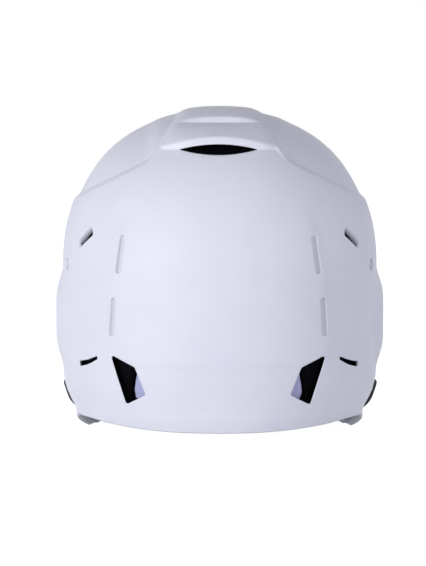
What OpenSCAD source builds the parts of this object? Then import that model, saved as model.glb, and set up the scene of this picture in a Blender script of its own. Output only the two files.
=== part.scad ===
// Softball batting helmet: a moulded shell with a bill and two ear flaps, foam pads
// held by hook and loop, and a coated wire face guard screwed on with moulded clips.
// Millimetres, +Z up, the front towards -Y, the wearer's left towards +X. The origin is
// the middle of the overall length and width, level with the lower edge of the ear flaps.

/* [Shell] */
// Width across the belt of the dome, clear of the ear bulges
belt_w = 222; // [210:1:234]
// Height of the belt, where the dome ends and the upright walls begin
belt_z = 120; // [114:1:126]
// Height of the dome above the belt
dome_h = 109; // [102:1:116]
// Reach of the back of the shell from the middle of the dome
back_l = 125; // [118:1:132]
// Reach of the forehead from the middle of the dome
front_l = 118; // [112:1:124]
// Reach of the bill's tip from the middle of the dome
bill_l = 165; // [158:1:176]
// Thickness of the moulded wall
wall = 3; // [2.6:0.1:3.6]
// Height of the rim at the back, above the lower edge of the ear flaps
back_rim_z = 15; // [12:0.5:18]
// How far the side walls draw in towards the jaw
jaw_tuck = 17; // [13:0.5:19]
// How far the back wall draws in towards the nape
nape_tuck = 20; // [14:0.5:24]

/* [Relief] */
// Height of the crown ridge over the dome
ridge_h = 2.4; // [1.6:0.1:3.4]
// Height of the cap over the dome at its rear lip
cap_h = 6; // [4.5:0.1:7]
// Depth of the valley above each shoulder crease
valley_d = 2.3; // [1:0.1:3]
// Height of the bulge over each ear
ear_bulge = 5; // [3:0.1:6]

/* [Openings] */
// Height of the ear holes
ear_z = 82; // [78:1:86]
// Length of each ear hole, front to back
ear_hole_l = 30; // [24:1:34]
// Height of each ear hole, top to bottom
ear_hole_h = 38; // [32:1:42]
// Width of the exhaust slot under the cap
cap_slot_w = 52; // [40:1:56]
// Height of the exhaust slot under the cap, seen from behind
cap_slot_h = 7; // [5:0.5:8]
// Width of the lower side slots; the upper ones and the intakes follow it
slot_w = 3; // [2.5:0.1:4]

/* [Pads] */
// Thickness of the pads at the back and front of the head
end_pad_t = 17; // [14:0.5:20]
// Thickness of the pads at the sides and crown
side_pad_t = 21; // [17:0.5:24]
// Thickness of the pads in the ear flaps
flap_pad_t = 15; // [11:0.5:18]
// Space between the pads and the shell, filled by the hook-and-loop discs
pad_gap = 2.4; // [2.2:0.1:3]
// Diameter of the hook-and-loop discs
disc_d = 14; // [12:1:16]

/* [Face guard] */
// Diameter of the coated wire
wire_d = 5; // [4.5:0.1:5.5]
// Reach of the guard from the middle of the dome
guard_l = 152; // [148:1:156]
// Height of the wire below the eyes
eye_wire_z = 54; // [50:1:58]
// Height of the wire before the mouth
mouth_wire_z = 28; // [26:1:30]
// Height at which the lower arms lie on the ear flaps
jaw_arm_z = 28; // [26:0.5:30]
// Height at which the upper arms lie on the ear flaps
temple_arm_z = 88; // [84:1:92]

/* [Fasteners] */
// Shank diameter of the clip screws
screw_d = 4; // [3.5:0.5:5]
// Diameter of the strap studs, which the straps' sockets snap on
stud_d = 7; // [6:0.5:8]
// Length of the strap studs' cylindrical heads
stud_l = 4; // [3:0.5:5]

/* [Hidden] */

// The middle of the dome lies behind the origin by half of what the bill reaches further
dome_y = (bill_l - back_l) / 2;
// Exponents of the dome's upright and level sections: 2 is an ellipse, more is squarer
dome_n = 2.2;
plan_n = 2.15;
// Drop of the wall for one unit of the profile, as steep as the dome's own
wall_run = 1.56 * dome_h;
// Heights below which the sides and the back draw in
jaw_tuck_z = 44;
nape_tuck_z = 75;
// The ear bulge: its place behind the dome's middle and its reach each way
ear_y = -8;
ear_bulge_r = [52, 40];
// Where the bill meets the ear flap: heading from the back, and height
temple_a = 127.5;
temple_z = 0.89 * belt_z;
// Share of each column at which the bill starts to leave the forehead
bill_t = 0.91;

// Stations along half of the rim, from the back round the ear flap to the bill's tip:
// the column's heading at the crown, its heading at the rim, and the height of the rim
RIM = [
    [0, 0, back_rim_z], [13, 18, back_rim_z + 0.3], [27, 37, back_rim_z + 1.8],
    [40, 56, back_rim_z + 3.2], [53, 72, back_rim_z + 2], [64, 84, 0.83 * back_rim_z], [73, 93, 5.5],
    [83, 103, 0], [92, 112.5, 1.5], [104, 120, 0.21 * belt_z], [113, 121, 0.46 * belt_z],
    [121, 122.5, 0.7 * belt_z], [130, temple_a, temple_z], [141, 138, belt_z - 6],
    [153, 152, belt_z], [166, 166, belt_z + 3.5], [180, 180, belt_z + 4.5]];
LAST = len(RIM) - 1;

// Cells of the shell's mesh: columns on each half, rows on the dome and in the last stretch
half_cols = 37;
dome_rows = 22;
rim_rows = 6;
ROWS = [for (j = [1:dome_rows]) bill_t * j / dome_rows,
    for (j = [1:rim_rows]) bill_t + (1 - bill_t) * j / rim_rows];

function ramp(a, b, v) = let(t = max(0, min(1, (v - a) / (b - a)))) t * t * (3 - 2 * t);
function mix(a, b, t) = a + (b - a) * t;
function spow(v, p) = sign(v) * pow(abs(v), p);
function unit(v) = v / norm(v);
function flip(p) = [-p.x, p.y, p.z];

// A point on a smooth curve through the listed points, at s from 0 to the last point
function curve(P, s) = let(
    n = len(P) - 1, k = min(n - 1, floor(s)), u = s - k,
    b = P[k], c = P[k + 1],
    a = k > 0 ? P[k - 1] : 2 * b - c,
    d = k < n - 1 ? P[k + 2] : 2 * c - b)
    b + 0.5 * u * (c - a + u * (2 * a - 5 * b + 4 * c - d + u * (3 * (b - c) + d - a)));

// The dome's profile: height at q, where 0 is the crown and 1 the belt, and the reverse
function height(q) = q < 1 ? belt_z + dome_h * pow(cos(90 * q), 2 / dome_n) : belt_z - (q - 1) * wall_run;
function profile(z) = z < belt_z ? 1 + (belt_z - z) / wall_run
    : acos(pow(min(1, (z - belt_z) / dome_h), dome_n / 2)) / 90;
function jaw_draw(z) = jaw_tuck * pow(max(0, 1 - z / jaw_tuck_z), 1.45);
function half_w(z) = belt_w / 2 - jaw_draw(z);
function reach(z, back) = back ? back_l - nape_tuck * pow(max(0, 1 - z / nape_tuck_z), 1.7)
    : front_l - jaw_draw(z);
function bulge(y, z) = ear_bulge * (1 - ramp(0.45, 1,
    norm([(y - dome_y - ear_y) / ear_bulge_r[0], (z - ear_z) / ear_bulge_r[1]])));

// The smooth outer form, at heading a from the back towards the wearer's left
function skin(a, q) = let(
    z = height(q),
    share = q < 1 ? pow(sin(90 * q), 2 / dome_n) : 1,
    x = half_w(z) * share * spow(sin(a), 2 / plan_n),
    y = dome_y + reach(z, cos(a) > 0) * share * spow(cos(a), 2 / plan_n))
    [x + sign(x) * bulge(y, z), y, z];
function skin_normal(a, q) = unit(cross(skin(a + 1, q) - skin(a - 1, q),
    skin(a, q + 0.005) - skin(a, q - 0.005)));
// A point at heading a and height z, at depth d below the outer form
function under(a, z, d) = let(q = profile(z)) skin(a, q) - d * skin_normal(a, q);
// The heading at which the side wall passes y, counted from the dome's middle
function heading(y, z) = acos(spow(y / reach(z, y > 0), plan_n / 2));
// A point under the crown, by its place in plan
function crown_skin(x, y) = let(r = pow(pow(abs(x) / (belt_w / 2), plan_n)
    + pow(abs(y) / (y > 0 ? back_l : front_l), plan_n), 1 / plan_n))
    [x, dome_y + y, belt_z + dome_h * pow(1 - pow(r, dome_n), 1 / dome_n)];
function under_crown(x, y, d) = crown_skin(x, y) - d * unit(cross(
    crown_skin(x + 1, y) - crown_skin(x - 1, y), crown_skin(x, y + 1) - crown_skin(x, y - 1)));

// How far the bill carries the end of a column out from the forehead
function bill(st) = let(
    turn = 90 * (180 - st[1]) / (180 - temple_a),
    root = skin(temple_a, profile(temple_z)),
    root_y = dome_y - root.y,
    end = skin(st[1], profile(st[2])))
    st[1] <= temple_a ? [0, 0, 0]
    : [root.x * pow(sin(turn), 2 / dome_n) - end.x,
        dome_y - mix(root_y, bill_l, pow(cos(turn), 2 / dome_n)) - end.y, 0];
// The shell's outer face, at station s along the rim and share t from the crown to the rim
function sheet(s, t) = let(
    st = [for (k = [0:2]) max(0, curve(RIM, s)[k])],
    w = t < bill_t ? 0 : (t - bill_t) / (1 - bill_t),
    out = bill(st),
    drop = 1 + 0.8 * norm(out) / (bill_l - front_l),
    share = t < bill_t ? t : mix(bill_t, 1, 1 - pow(1 - w, drop)))
    skin(mix(st[0], st[1], pow(t, 1.5)), profile(st[2]) * share) + pow(w, 1.6) * out;
function sheet_normal(s, t) = unit(cross(sheet(s + 0.05, t) - sheet(s - 0.05, t),
    sheet(s, t + 0.002) - sheet(s, t - 0.002)));

// The crown ridge and its cap: edges, step behind the crown and rear lip
ridge_x = [19, 43];
cap_step_y = 47;
lip_y = 84;
lip_z = belt_z + 0.79 * dome_h;
lip_arch = 4;
// The shoulder creases: their height at one place and their fall outwards
crease_z = belt_z + 0.694 * dome_h;
crease_x = 47;
crease_fall = 0.5;
function cap_rise(y) = mix(ridge_h, mix(0.1, 1, (y - cap_step_y) / (lip_y - cap_step_y)) * cap_h,
    ramp(cap_step_y - 2, cap_step_y + 2, y));
function relief(p) = let(
    x = abs(p.x), y = p.y - dome_y,
    foot = lip_z - lip_arch * pow(x / ridge_x[1], 2),
    lip = y > 0 ? ramp(foot - 3, foot + 3, p.z) : ramp(belt_z + 12, belt_z + 34, p.z),
    above = p.z - crease_z + crease_fall * (x - crease_x))
    cap_rise(y) * (1 - ramp(ridge_x[0], ridge_x[1], x)) * lip
    - valley_d * ramp(crease_x - 7, crease_x + 5, x) * ramp(-4, 3, above)
        * (1 - ramp(3, 26, above)) * ramp(-70, -25, y);

// Outward normals of a mesh whose rows start below the pole
function normals(G, pole) = let(n = len(G[0]), m = len(G))
    [for (j = [0:m - 1]) [for (i = [0:n - 1]) unit(cross(G[j][(i + 1) % n] - G[j][(i + n - 1) % n],
        G[min(m - 1, j + 1)][i] - (j > 0 ? G[j - 1][i] : pole)))]];

// The shell's wall: outer and inner mesh joined at the rim
module moulded_wall() {
    n = 2 * half_cols;
    m = len(ROWS);
    base = [for (t = ROWS) let(h = [for (i = [0:half_cols]) sheet(i * LAST / half_cols, t)])
        concat(h, [for (i = [half_cols - 1:-1:1]) flip(h[i])])];
    pole = [0, dome_y, belt_z + dome_h];
    lift = normals(base, pole);
    outer = [for (j = [0:m - 1]) [for (i = [0:n - 1]) base[j][i] + relief(base[j][i]) * lift[j][i]]];
    crown = pole + [0, 0, ridge_h];
    out = normals(outer, crown);
    // Below the belt the rim is cut level, so that the ear flaps end in flat feet
    inner = [for (j = [0:m - 1]) [for (i = [0:n - 1]) let(p = outer[j][i], v = out[j][i])
        j == m - 1 && p.z < 0.2 * belt_z ? p - wall / (v.x * v.x + v.y * v.y) * [v.x, v.y, 0]
        : p - wall * v]];
    flat = function(G) [for (row = G) each row];
    at = function(j, i) j * n + i % n;
    in = n * m;
    polyhedron(
        concat(flat(outer), flat(inner), [crown, crown - [0, 0, wall]]),
        concat(
            [for (i = [0:n - 1]) [2 * in, at(0, i), at(0, i + 1)]],
            [for (i = [0:n - 1]) [2 * in + 1, in + at(0, i + 1), in + at(0, i)]],
            [for (j = [0:m - 2], i = [0:n - 1]) each [
                [at(j, i + 1), at(j, i), at(j + 1, i)],
                [at(j, i + 1), at(j + 1, i), at(j + 1, i + 1)],
                [in + at(j, i), in + at(j, i + 1), in + at(j + 1, i + 1)],
                [in + at(j, i), in + at(j + 1, i + 1), in + at(j + 1, i)]]],
            [for (i = [0:n - 1]) each [
                [at(m - 1, i + 1), at(m - 1, i), in + at(m - 1, i)],
                [at(m - 1, i + 1), in + at(m - 1, i), in + at(m - 1, i + 1)]]]));
}

// A prism from the dome's middle out through the wall at heading a; its outline is drawn
// with X towards larger headings and Y as the height
module through(a)
    translate([0, dome_y, 0]) rotate([0, 0, -a]) translate([0, bill_l, 0]) rotate([90, 0, 0])
        linear_extrude(bill_l) children();
// A slot's outline along its middle line, whose points come with their share of the slots' width
module slot_outline(line) {
    path = smooth_path(line, 4);
    for (i = [1:len(path) - 1]) hull() for (c = [path[i - 1], path[i]])
        translate([c.x, c.y]) circle(d = slot_w * c.z, $fn = 24);
}
module on_both_sides() for (s = [0, 1]) mirror([s, 0, 0]) children();
// Stands children on a point, with their Z along n and their X as near as may be to along
module seat(p, n, along = [0, 0, 1]) {
    x = unit(along - (along * n) * n);
    y = cross(n, x);
    multmatrix([[x.x, y.x, n.x, p.x], [x.y, y.y, n.y, p.y], [x.z, y.z, n.z, p.z], [0, 0, 0, 1]])
        children();
}

// The rear window, seen from behind: its corners' places and heights, and their rounding
WINDOW = [[71.7, 66.5], [55.3, 59.2], [48.1, 40.8], [61.2, 33.1]];
window_round = 1.2;
// The upper and lower side slots: heading they face, and points with their share of slot_w
back_slot_a = 50;
UPPER_SLOT = [[7.8, 137.9, 1.25], [-4.7, 147.2, 2.05]];
LOWER_SLOT = [[7.4, 56.8, 1.15], [-4, 59.2, 1], [-14.4, 62.9, 0.72]];
// The intake slots beside the ridge in front
front_slot_a = 158;
LOW_INTAKE = [[-14, belt_z + 42, 2], [14, belt_z + 50, 2]];
HIGH_INTAKE = [[-9, belt_z + 68, 2], [11, belt_z + 75, 2]];

module vents() {
    // The exhaust slot lies half its height below the lip's edge
    slot_z = lip_z - cap_slot_h / 2;
    // The slot's lens is where two equal arcs cross
    lens_r = (pow(cap_slot_w / 2, 2) + pow(cap_slot_h / 2, 2)) / cap_slot_h;
    through(0) intersection_for(s = [-1, 1])
        translate([0, slot_z + s * (lens_r - cap_slot_h / 2)]) circle(lens_r, $fn = 120);
    on_both_sides() {
        through(0) offset(window_round, $fn = 16) offset(-window_round) polygon(WINDOW);
        for (line = [UPPER_SLOT, LOWER_SLOT]) through(back_slot_a) slot_outline(line);
        for (line = [LOW_INTAKE, HIGH_INTAKE]) through(front_slot_a) slot_outline(line);
        translate([0, dome_y + ear_y, ear_z]) rotate([0, 90, 0])
            linear_extrude(belt_w) ear_outline(ear_hole_h, ear_hole_l);
    }
}
module ear_outline(h, l) hull() for (s = [-1, 1]) translate([s * (h - l) / 2, 0]) circle(d = l, $fn = 48);

module shell() color("whitesmoke") difference() {
    moulded_wall();
    vents();
    on_both_sides() {
        for (f = [JAW_SCREW, TEMPLE_SCREW, BROW_SCREW]) seat(f[0], f[1])
            translate([0, 0, -2 * wall]) cylinder(d = nut_barrel_d + 2 * fit_gap, h = 4 * wall, $fn = 32);
        seat(STUD[0], STUD[1]) translate([0, 0, -2 * wall])
            cylinder(d = stud_shank_d + 2 * fit_gap, h = 4 * wall, $fn = 32);
    }
}

// A slab that follows a curved face: place gives a point by u, v and depth; outer and
// inner give the depth of its two faces. U runs towards larger headings and V upwards.
slab_cells = [10, 8];
corner_round = 0.1;
module slab(place, outer, inner, cells = slab_cells) {
    nu = cells[0];
    nv = cells[1];
    n = (nu + 1) * (nv + 1);
    grid = function(depth) [for (j = [0:nv], i = [0:nu]) let(u = 2 * i / nu - 1, v = 2 * j / nv - 1)
        place(u * sqrt(1 - corner_round * v * v), v * sqrt(1 - corner_round * u * u), depth(u, v))];
    at = function(i, j) j * (nu + 1) + i;
    rim = concat([for (i = [0:nu - 1]) at(i, 0)], [for (j = [0:nv - 1]) at(nu, j)],
        [for (i = [nu:-1:1]) at(i, nv)], [for (j = [nv:-1:1]) at(0, j)]);
    polyhedron(concat(grid(outer), grid(inner)), concat(
        [for (i = [0:nu - 1], j = [0:nv - 1]) each [
            [at(i + 1, j + 1), at(i, j + 1), at(i, j)],
            [at(i + 1, j + 1), at(i, j), at(i + 1, j)],
            [n + at(i, j + 1), n + at(i + 1, j + 1), n + at(i + 1, j)],
            [n + at(i, j + 1), n + at(i + 1, j), n + at(i, j)]]],
        [for (k = [0:len(rim) - 1]) let(a = rim[k], b = rim[(k + 1) % len(rim)]) each [
            [a, n + a, n + b], [a, n + b, b]]]));
}
// How full a pad is at u, v: 1 in the middle, edge at its rim
function crowned(u, v, edge) = edge + (1 - edge) * (1 - pow(u, 4)) * (1 - pow(v, 4));
pad_edge = 0.45;
// The seams beside the back pad lean outwards below: by how many degrees, and between which heights
seam_lean = 2.4;
SEAM_Z = [34, 66];
// A pad on the shell's inside, between two headings and two heights; lean tells which of its
// sides follow a seam
module pad(a, z, t, lean = [0, 0]) {
    from = wall + pad_gap;
    slab(function(u, v, d) let(h = mix(z[0], z[1], (v + 1) / 2), k = ramp(SEAM_Z[1], SEAM_Z[0], h))
            under(mix(a[0], a[1], (u + 1) / 2) + seam_lean * k * mix(lean[0], lean[1], (u + 1) / 2), h, d),
        function(u, v) from, function(u, v) from + t * crowned(u, v, pad_edge));
}

// Extent of the pads: headings and heights
CROWN_PAD = [52, 60];
FRONT_PAD = [[144, 216], [belt_z + 22, belt_z + 60]];
UPPER_BACK_PAD = [[-30, 30], [belt_z + 42, belt_z + 91]];
BACK_PAD = [[-28.8, 28.8], [33.5, belt_z + 36]];
NAPE_PAD = [[-29.5, 29.5], [back_rim_z + 3, 32.5]];
SIDE_PAD = [[76, 132], [belt_z + 8, belt_z + 64]];
OCCIPUT_PAD = [[36, 71], [belt_z - 9, belt_z + 64]];
REAR_SIDE_PAD = [[29.7, 66], [back_rim_z + 5, belt_z - 14]];
JAW_PAD = [[93, 114], [2.5, 35]];
jaw_pad_t = 0.8 * flap_pad_t;
// The ear pads' outer radius, and the share of it that their holes take
ear_pad_r = 42;
ear_pad_hole = 0.5;

module crown_pad() color("dimgray")
    slab(function(u, v, d) under_crown(-CROWN_PAD[0] * u, CROWN_PAD[1] * v, d),
        function(u, v) wall + pad_gap, function(u, v) wall + pad_gap + side_pad_t * crowned(u, v, pad_edge));
module front_pad() color("dimgray") pad(FRONT_PAD[0], FRONT_PAD[1], end_pad_t);
module upper_back_pad() color("dimgray") pad(UPPER_BACK_PAD[0], UPPER_BACK_PAD[1], end_pad_t);
module back_pad() color("lavender") pad(BACK_PAD[0], BACK_PAD[1], end_pad_t, [-1, 1]);
module nape_pad() color("dimgray") pad(NAPE_PAD[0], NAPE_PAD[1], end_pad_t);
module side_pad() color("dimgray") pad(SIDE_PAD[0], SIDE_PAD[1], side_pad_t);
module occiput_pad() color("dimgray") pad(OCCIPUT_PAD[0], OCCIPUT_PAD[1], end_pad_t);
module rear_side_pad() color("dimgray") pad(REAR_SIDE_PAD[0], REAR_SIDE_PAD[1], end_pad_t, [1, 0]);
module jaw_pad() color("dimgray") pad(JAW_PAD[0], JAW_PAD[1], jaw_pad_t);

// The ring of foam round each ear hole
module ear_pad() color("dimgray") {
    sides = 32;
    b = wall + pad_gap;
    section = [[1, b], [1, b + 0.45 * flap_pad_t], [0.93, b + 0.8 * flap_pad_t], [0.76, b + flap_pad_t],
        [0.6, b + 0.8 * flap_pad_t], [ear_pad_hole, b + 0.4 * flap_pad_t], [ear_pad_hole, b], [0.75, b]];
    n = len(section);
    points = [for (k = [0:sides - 1], c = section) let(t = 360 * k / sides,
        y = ear_y + c[0] * ear_pad_r * cos(t), z = ear_z + c[0] * ear_pad_r * sin(t))
        under(heading(y, z), z, c[1])];
    at = function(k, i) (k % sides) * n + i % n;
    polyhedron(points, [for (k = [0:sides - 1], i = [0:n - 1]) each [
        [at(k, i), at(k + 1, i + 1), at(k, i + 1)], [at(k, i), at(k + 1, i), at(k + 1, i + 1)]]]);
}

// The sweatband over the front pad: thickness, and its share of the pad's width and height
band_t = 2.5;
band_share = [0.86, 0.8];
soft_gap = 0.7;
module brow_band() color("black") {
    a = FRONT_PAD[0];
    z = FRONT_PAD[1];
    face = function(u, v) wall + pad_gap + soft_gap
        + end_pad_t * crowned(band_share.x * u, band_share.y * v, pad_edge);
    slab(function(u, v, d) under(mix(a[0], a[1], (band_share.x * u + 1) / 2),
            mix(z[0], z[1], (band_share.y * v + 1) / 2), d),
        face, function(u, v) face(u, v) + band_t);
}

// The hook-and-loop discs, by heading and height, and those on the crown by their place
ear_disc_r = 0.69 * ear_pad_r;
DISCS = [[158, belt_z + 40], [110, belt_z + 30], [90, belt_z + 30], [54, belt_z + 8], [54, belt_z + 36],
    [48, 88], [40, 30], [17, belt_z + 64], [18, 80], [18, 126], [20, 25.3], [110.4, 28],
    for (t = [0, 90, 270]) let(z = ear_z + ear_disc_r * sin(t)) [heading(ear_y + ear_disc_r * cos(t), z), z]];
CROWN_DISCS = [-32, 24];
// Clearances of the flat discs: to the hollow face of the shell, and to the pad
disc_off_shell = 1.05;
disc_off_pad = 0.6;
disc_t = pad_gap - disc_off_shell - disc_off_pad;
disc_depth = wall + disc_off_shell + disc_t;
module disc(h = disc_t) cylinder(d = disc_d, h = h, $fn = 32);
module pad_fasteners() color("darkslategray") {
    on_both_sides() for (c = DISCS)
        seat(under(c[0], c[1], disc_depth), skin_normal(c[0], profile(c[1]))) disc();
    // Those on the crown are thicker, and reach up into the hollow of the ridge
    for (y = CROWN_DISCS)
        seat(under_crown(0, y, disc_depth), unit(under_crown(0, y, 0) - under_crown(0, y, 1)))
            disc(disc_t + ridge_h);
}

// Gap between pieces that touch, and how far the wires stand off the shell
fit_gap = 0.2;
wire_off = wire_d / 2 + 0.35;
wire_sides = 8;
// The reach of a wire's corners from its middle, for the diameter d across its flats
function wire_r(d) = d / 2 / cos(180 / wire_sides);
// A wire along the listed points, with its rings turned by the direction out of the dome
module wire(P, d) {
    n = len(P);
    rings = [for (i = [0:n - 1]) let(
        along = unit(P[min(n - 1, i + 1)] - P[max(0, i - 1)]),
        out = [P[i].x, P[i].y - dome_y, 0],
        u = unit(out - (out * along) * along),
        v = cross(along, u)) each [for (k = [0:wire_sides - 1]) let(t = 360 * k / wire_sides)
            P[i] + wire_r(d) * (cos(t) * u + sin(t) * v)]];
    at = function(i, k) i * wire_sides + k % wire_sides;
    polyhedron(rings, concat([[for (k = [0:wire_sides - 1]) k]],
        [for (i = [0:n - 2], k = [0:wire_sides - 1]) each [
            [at(i, k), at(i + 1, k), at(i + 1, k + 1)], [at(i, k), at(i + 1, k + 1), at(i, k + 1)]]],
        [[for (k = [wire_sides - 1:-1:0]) at(n - 1, k)]]));
}
function smooth_path(P, steps) = [for (i = [0:(len(P) - 1) * steps]) curve(P, i / steps)];
function whole(half) = concat(half, [for (i = [len(half) - 2:-1:0]) flip(half[i])]);
// The cage in front of the face, at heading a and height z
function cage(a, z) = let(p = skin(a, profile(z)), k = ramp(118, 160, a))
    [p.x, mix(p.y, dome_y - guard_l * pow(-cos(a), 2 / plan_n), k), z];
edge_a = temple_a - 2.5;
// The chin wire comes down to the surface that the helmet stands on
function chin_z(a) = mix(jaw_arm_z, wire_r(wire_d), ramp(121, 150, a));
function mouth_z(a) = mix(jaw_arm_z + 15, mouth_wire_z, ramp(121, 150, a));
function eye_z(a) = mix(eye_wire_z + 9, eye_wire_z, ramp(121, 150, a));
function arm(a, z) = [for (b = [a:3:121]) under(b, z, -wire_off)];
CAGE_A = [for (k = [0:14]) mix(edge_a, 180, k / 14)];
CHIN_WIRE = whole(concat(arm(100, jaw_arm_z), [for (a = CAGE_A) cage(a, chin_z(a))]));
TEMPLE_ARM = concat(arm(111, temple_arm_z),
    [for (b = [3, 1, -1]) under(edge_a - b, temple_arm_z, -wire_off)]);
under_bill_t = mix(bill_t, 1, 0.62);
brow_wire_off = wall + wire_off + 1;
BROW_WIRE = whole(smooth_path(concat(
    [for (z = [jaw_arm_z, 44, 58, 72, 86]) under(edge_a + 0.5, z, wall / 2)],
    [under(edge_a + 4, belt_z - 22, wall)],
    [for (s = [13.4, 14, 14.7, 15.3, 16]) sheet(min(LAST, s), under_bill_t)
        - brow_wire_off * sheet_normal(s - 0.05, under_bill_t)]), 2));
bar_a = 163;
BAR = [for (k = [0:4]) cage(bar_a, mix(chin_z(bar_a), eye_z(bar_a), k / 4))];
module face_guard() color("black") {
    wire(CHIN_WIRE, wire_d);
    wire(BROW_WIRE, wire_d);
    for (f = [function(a) mouth_z(a), function(a) eye_z(a)])
        wire(whole([for (a = CAGE_A) cage(a, f(a))]), wire_d);
    on_both_sides() {
        wire(TEMPLE_ARM, wire_d);
        wire(BAR, wire_d);
    }
}

// The side clips: an arch over the wire, blunt above and thinned out below, with a pocket for
// the screw's head. The fall tells how suddenly each end thins out.
clip_wall = 1.5;
clip_foot = 2.4;
clip_below = 16;
clip_above = 8;
screw_below = 10;
arch_t = wire_d + 2 * clip_wall;
arch_edge = 0.25;
ARCH_FALL = [2, 12];
head_pocket = 1;
module screw_bore() cylinder(d = screw_d + 2 * fit_gap, h = 60, center = true, $fn = 32);
module side_clip(a, z, path, at) color("black") difference() {
    slab(function(u, v, d) under(mix(a[0], a[1], (u + 1) / 2),
            z + mix(-clip_below, clip_above, (v + 1) / 2), d),
        function(u, v) -fit_gap
            - arch_t * mix(arch_edge, 1, (1 - pow(u, 4)) * (1 - pow(abs(v), ARCH_FALL[v > 0 ? 1 : 0]))),
        function(u, v) -fit_gap);
    wire(path, wire_d + 2 * fit_gap);
    seat(at[0], at[1]) {
        screw_bore();
        translate([0, 0, fit_gap + clip_foot]) cylinder(d = head_d + head_pocket, h = 2 * arch_t, $fn = 32);
    }
}
JAW_CLIP_A = [99, 109];
TEMPLE_CLIP_A = [108.5, 118];
// Where a side clip's screw passes the shell: the point on its outer face, and the normal there
function side_screw(a, z) = let(b = (a[0] + a[1]) / 2)
    [under(b, z - screw_below, 0), skin_normal(b, profile(z - screw_below))];
JAW_SCREW = side_screw(JAW_CLIP_A, jaw_arm_z);
TEMPLE_SCREW = side_screw(TEMPLE_CLIP_A, temple_arm_z);
module jaw_clip() side_clip(JAW_CLIP_A, jaw_arm_z, arm(97, jaw_arm_z), JAW_SCREW);
module temple_clip() side_clip(TEMPLE_CLIP_A, temple_arm_z, arm(105, temple_arm_z), TEMPLE_SCREW);

// The brow clips hang under the bill: their station, size, place and screw
brow_s = 15;
BROW_SIZE = [24, 19, wire_d + clip_wall + 0.6];
BROW_N = sheet_normal(brow_s, under_bill_t);
BROW_P = sheet(brow_s, under_bill_t);
BROW_ALONG = unit(sheet(brow_s + 0.2, under_bill_t) - sheet(brow_s - 0.2, under_bill_t));
BROW_SCREW = [BROW_P + 8 * cross(BROW_N, BROW_ALONG), BROW_N];
brow_off = wall + fit_gap + 0.3;
brow_shift = 3;
brow_edge = 2.5;
module brow_clip() color("black") difference() {
    seat(BROW_P - brow_off * BROW_N, BROW_N, BROW_ALONG) translate([0, brow_shift, -BROW_SIZE.z]) hull() {
        translate([0, 0, BROW_SIZE.z / 2 + 1]) linear_extrude(BROW_SIZE.z / 2 - 1)
            rounded(BROW_SIZE.x, BROW_SIZE.y, 4);
        linear_extrude(1) rounded(BROW_SIZE.x - 2 * brow_edge, BROW_SIZE.y - 2 * brow_edge, 3);
    }
    wire(BROW_WIRE, wire_d + 2 * fit_gap);
    seat(BROW_SCREW[0], BROW_N) screw_bore();
}
module rounded(x, y, r) hull() for (i = [-1, 1], j = [-1, 1])
    translate([i * (x / 2 - r), j * (y / 2 - r)]) circle(r, $fn = 24);

head_d = 8;
head_t = 2.2;
nut_barrel_d = screw_d + 2.4;
nut_flange_d = 14;
nut_flange_t = 1.2;
nut_gap = 0.7;
head_gap = 0.4;
// The bill's hollow lifts the flat heads of the brow screws
brow_head_off = 0.8;
// A pan-head screw whose head rests at z = 0, with its shank below
module screw(l) {
    cylinder(d1 = head_d, d2 = head_d - 2, h = head_t, $fn = 32);
    translate([0, 0, -l]) cylinder(d = screw_d, h = l + 0.1, $fn = 32);
}
module clip_screws() color("black") on_both_sides() {
    for (f = [JAW_SCREW, TEMPLE_SCREW]) seat(f[0] + (fit_gap + clip_foot + head_gap) * f[1], f[1])
        screw(clip_foot + head_gap + wall + nut_gap + nut_flange_t);
    seat(BROW_SCREW[0] + brow_head_off * BROW_N, BROW_N) screw(brow_off + BROW_SIZE.z + nut_flange_t);
}
// A tee nut: a flange with a bored barrel that points out through the shell
module tee_nut(barrel) difference() {
    union() {
        cylinder(d = nut_flange_d, h = nut_flange_t, $fn = 32);
        cylinder(d = nut_barrel_d, h = nut_flange_t + barrel, $fn = 32);
    }
    cylinder(d = screw_d + 0.1, h = 3 * (nut_flange_t + barrel), center = true, $fn = 32);
}
module clip_nuts() color("silver") on_both_sides() {
    for (f = [JAW_SCREW, TEMPLE_SCREW])
        seat(f[0] - (wall + nut_gap + nut_flange_t) * f[1], f[1]) tee_nut(wall);
    seat(BROW_SCREW[0] - (brow_off + BROW_SIZE.z + fit_gap + nut_flange_t) * BROW_N, BROW_N) tee_nut(0);
}

// The snap studs for a chin strap, and the washers they are riveted over
stud_a = 111;
stud_z = 47;
STUD = [under(stud_a, stud_z, 0), skin_normal(stud_a, profile(stud_z))];
stud_shank_d = 4;
stud_flange_d = stud_d + 4;
stud_flange_t = 1;
washer_d = 11;
washer_t = 1;
washer_gap = 1.3;
module strap_studs() color("silver") on_both_sides() seat(STUD[0] + fit_gap * STUD[1], STUD[1]) {
    cylinder(d = stud_flange_d, h = stud_flange_t, $fn = 48);
    cylinder(d = stud_d, h = stud_flange_t + stud_l, $fn = 48);
    translate([0, 0, -wall - washer_gap - 1.5 * washer_t])
        cylinder(d = stud_shank_d, h = wall + washer_gap + 1.5 * washer_t + 0.1, $fn = 32);
}
module stud_backs() color("silver") on_both_sides()
    seat(STUD[0] - (wall + washer_gap + washer_t) * STUD[1], STUD[1]) difference() {
        cylinder(d = washer_d, h = washer_t, $fn = 48);
        cylinder(d = stud_shank_d + 0.1, h = 3 * washer_t, center = true, $fn = 32);
    }

module right_side() mirror([1, 0, 0]) children();

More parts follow.
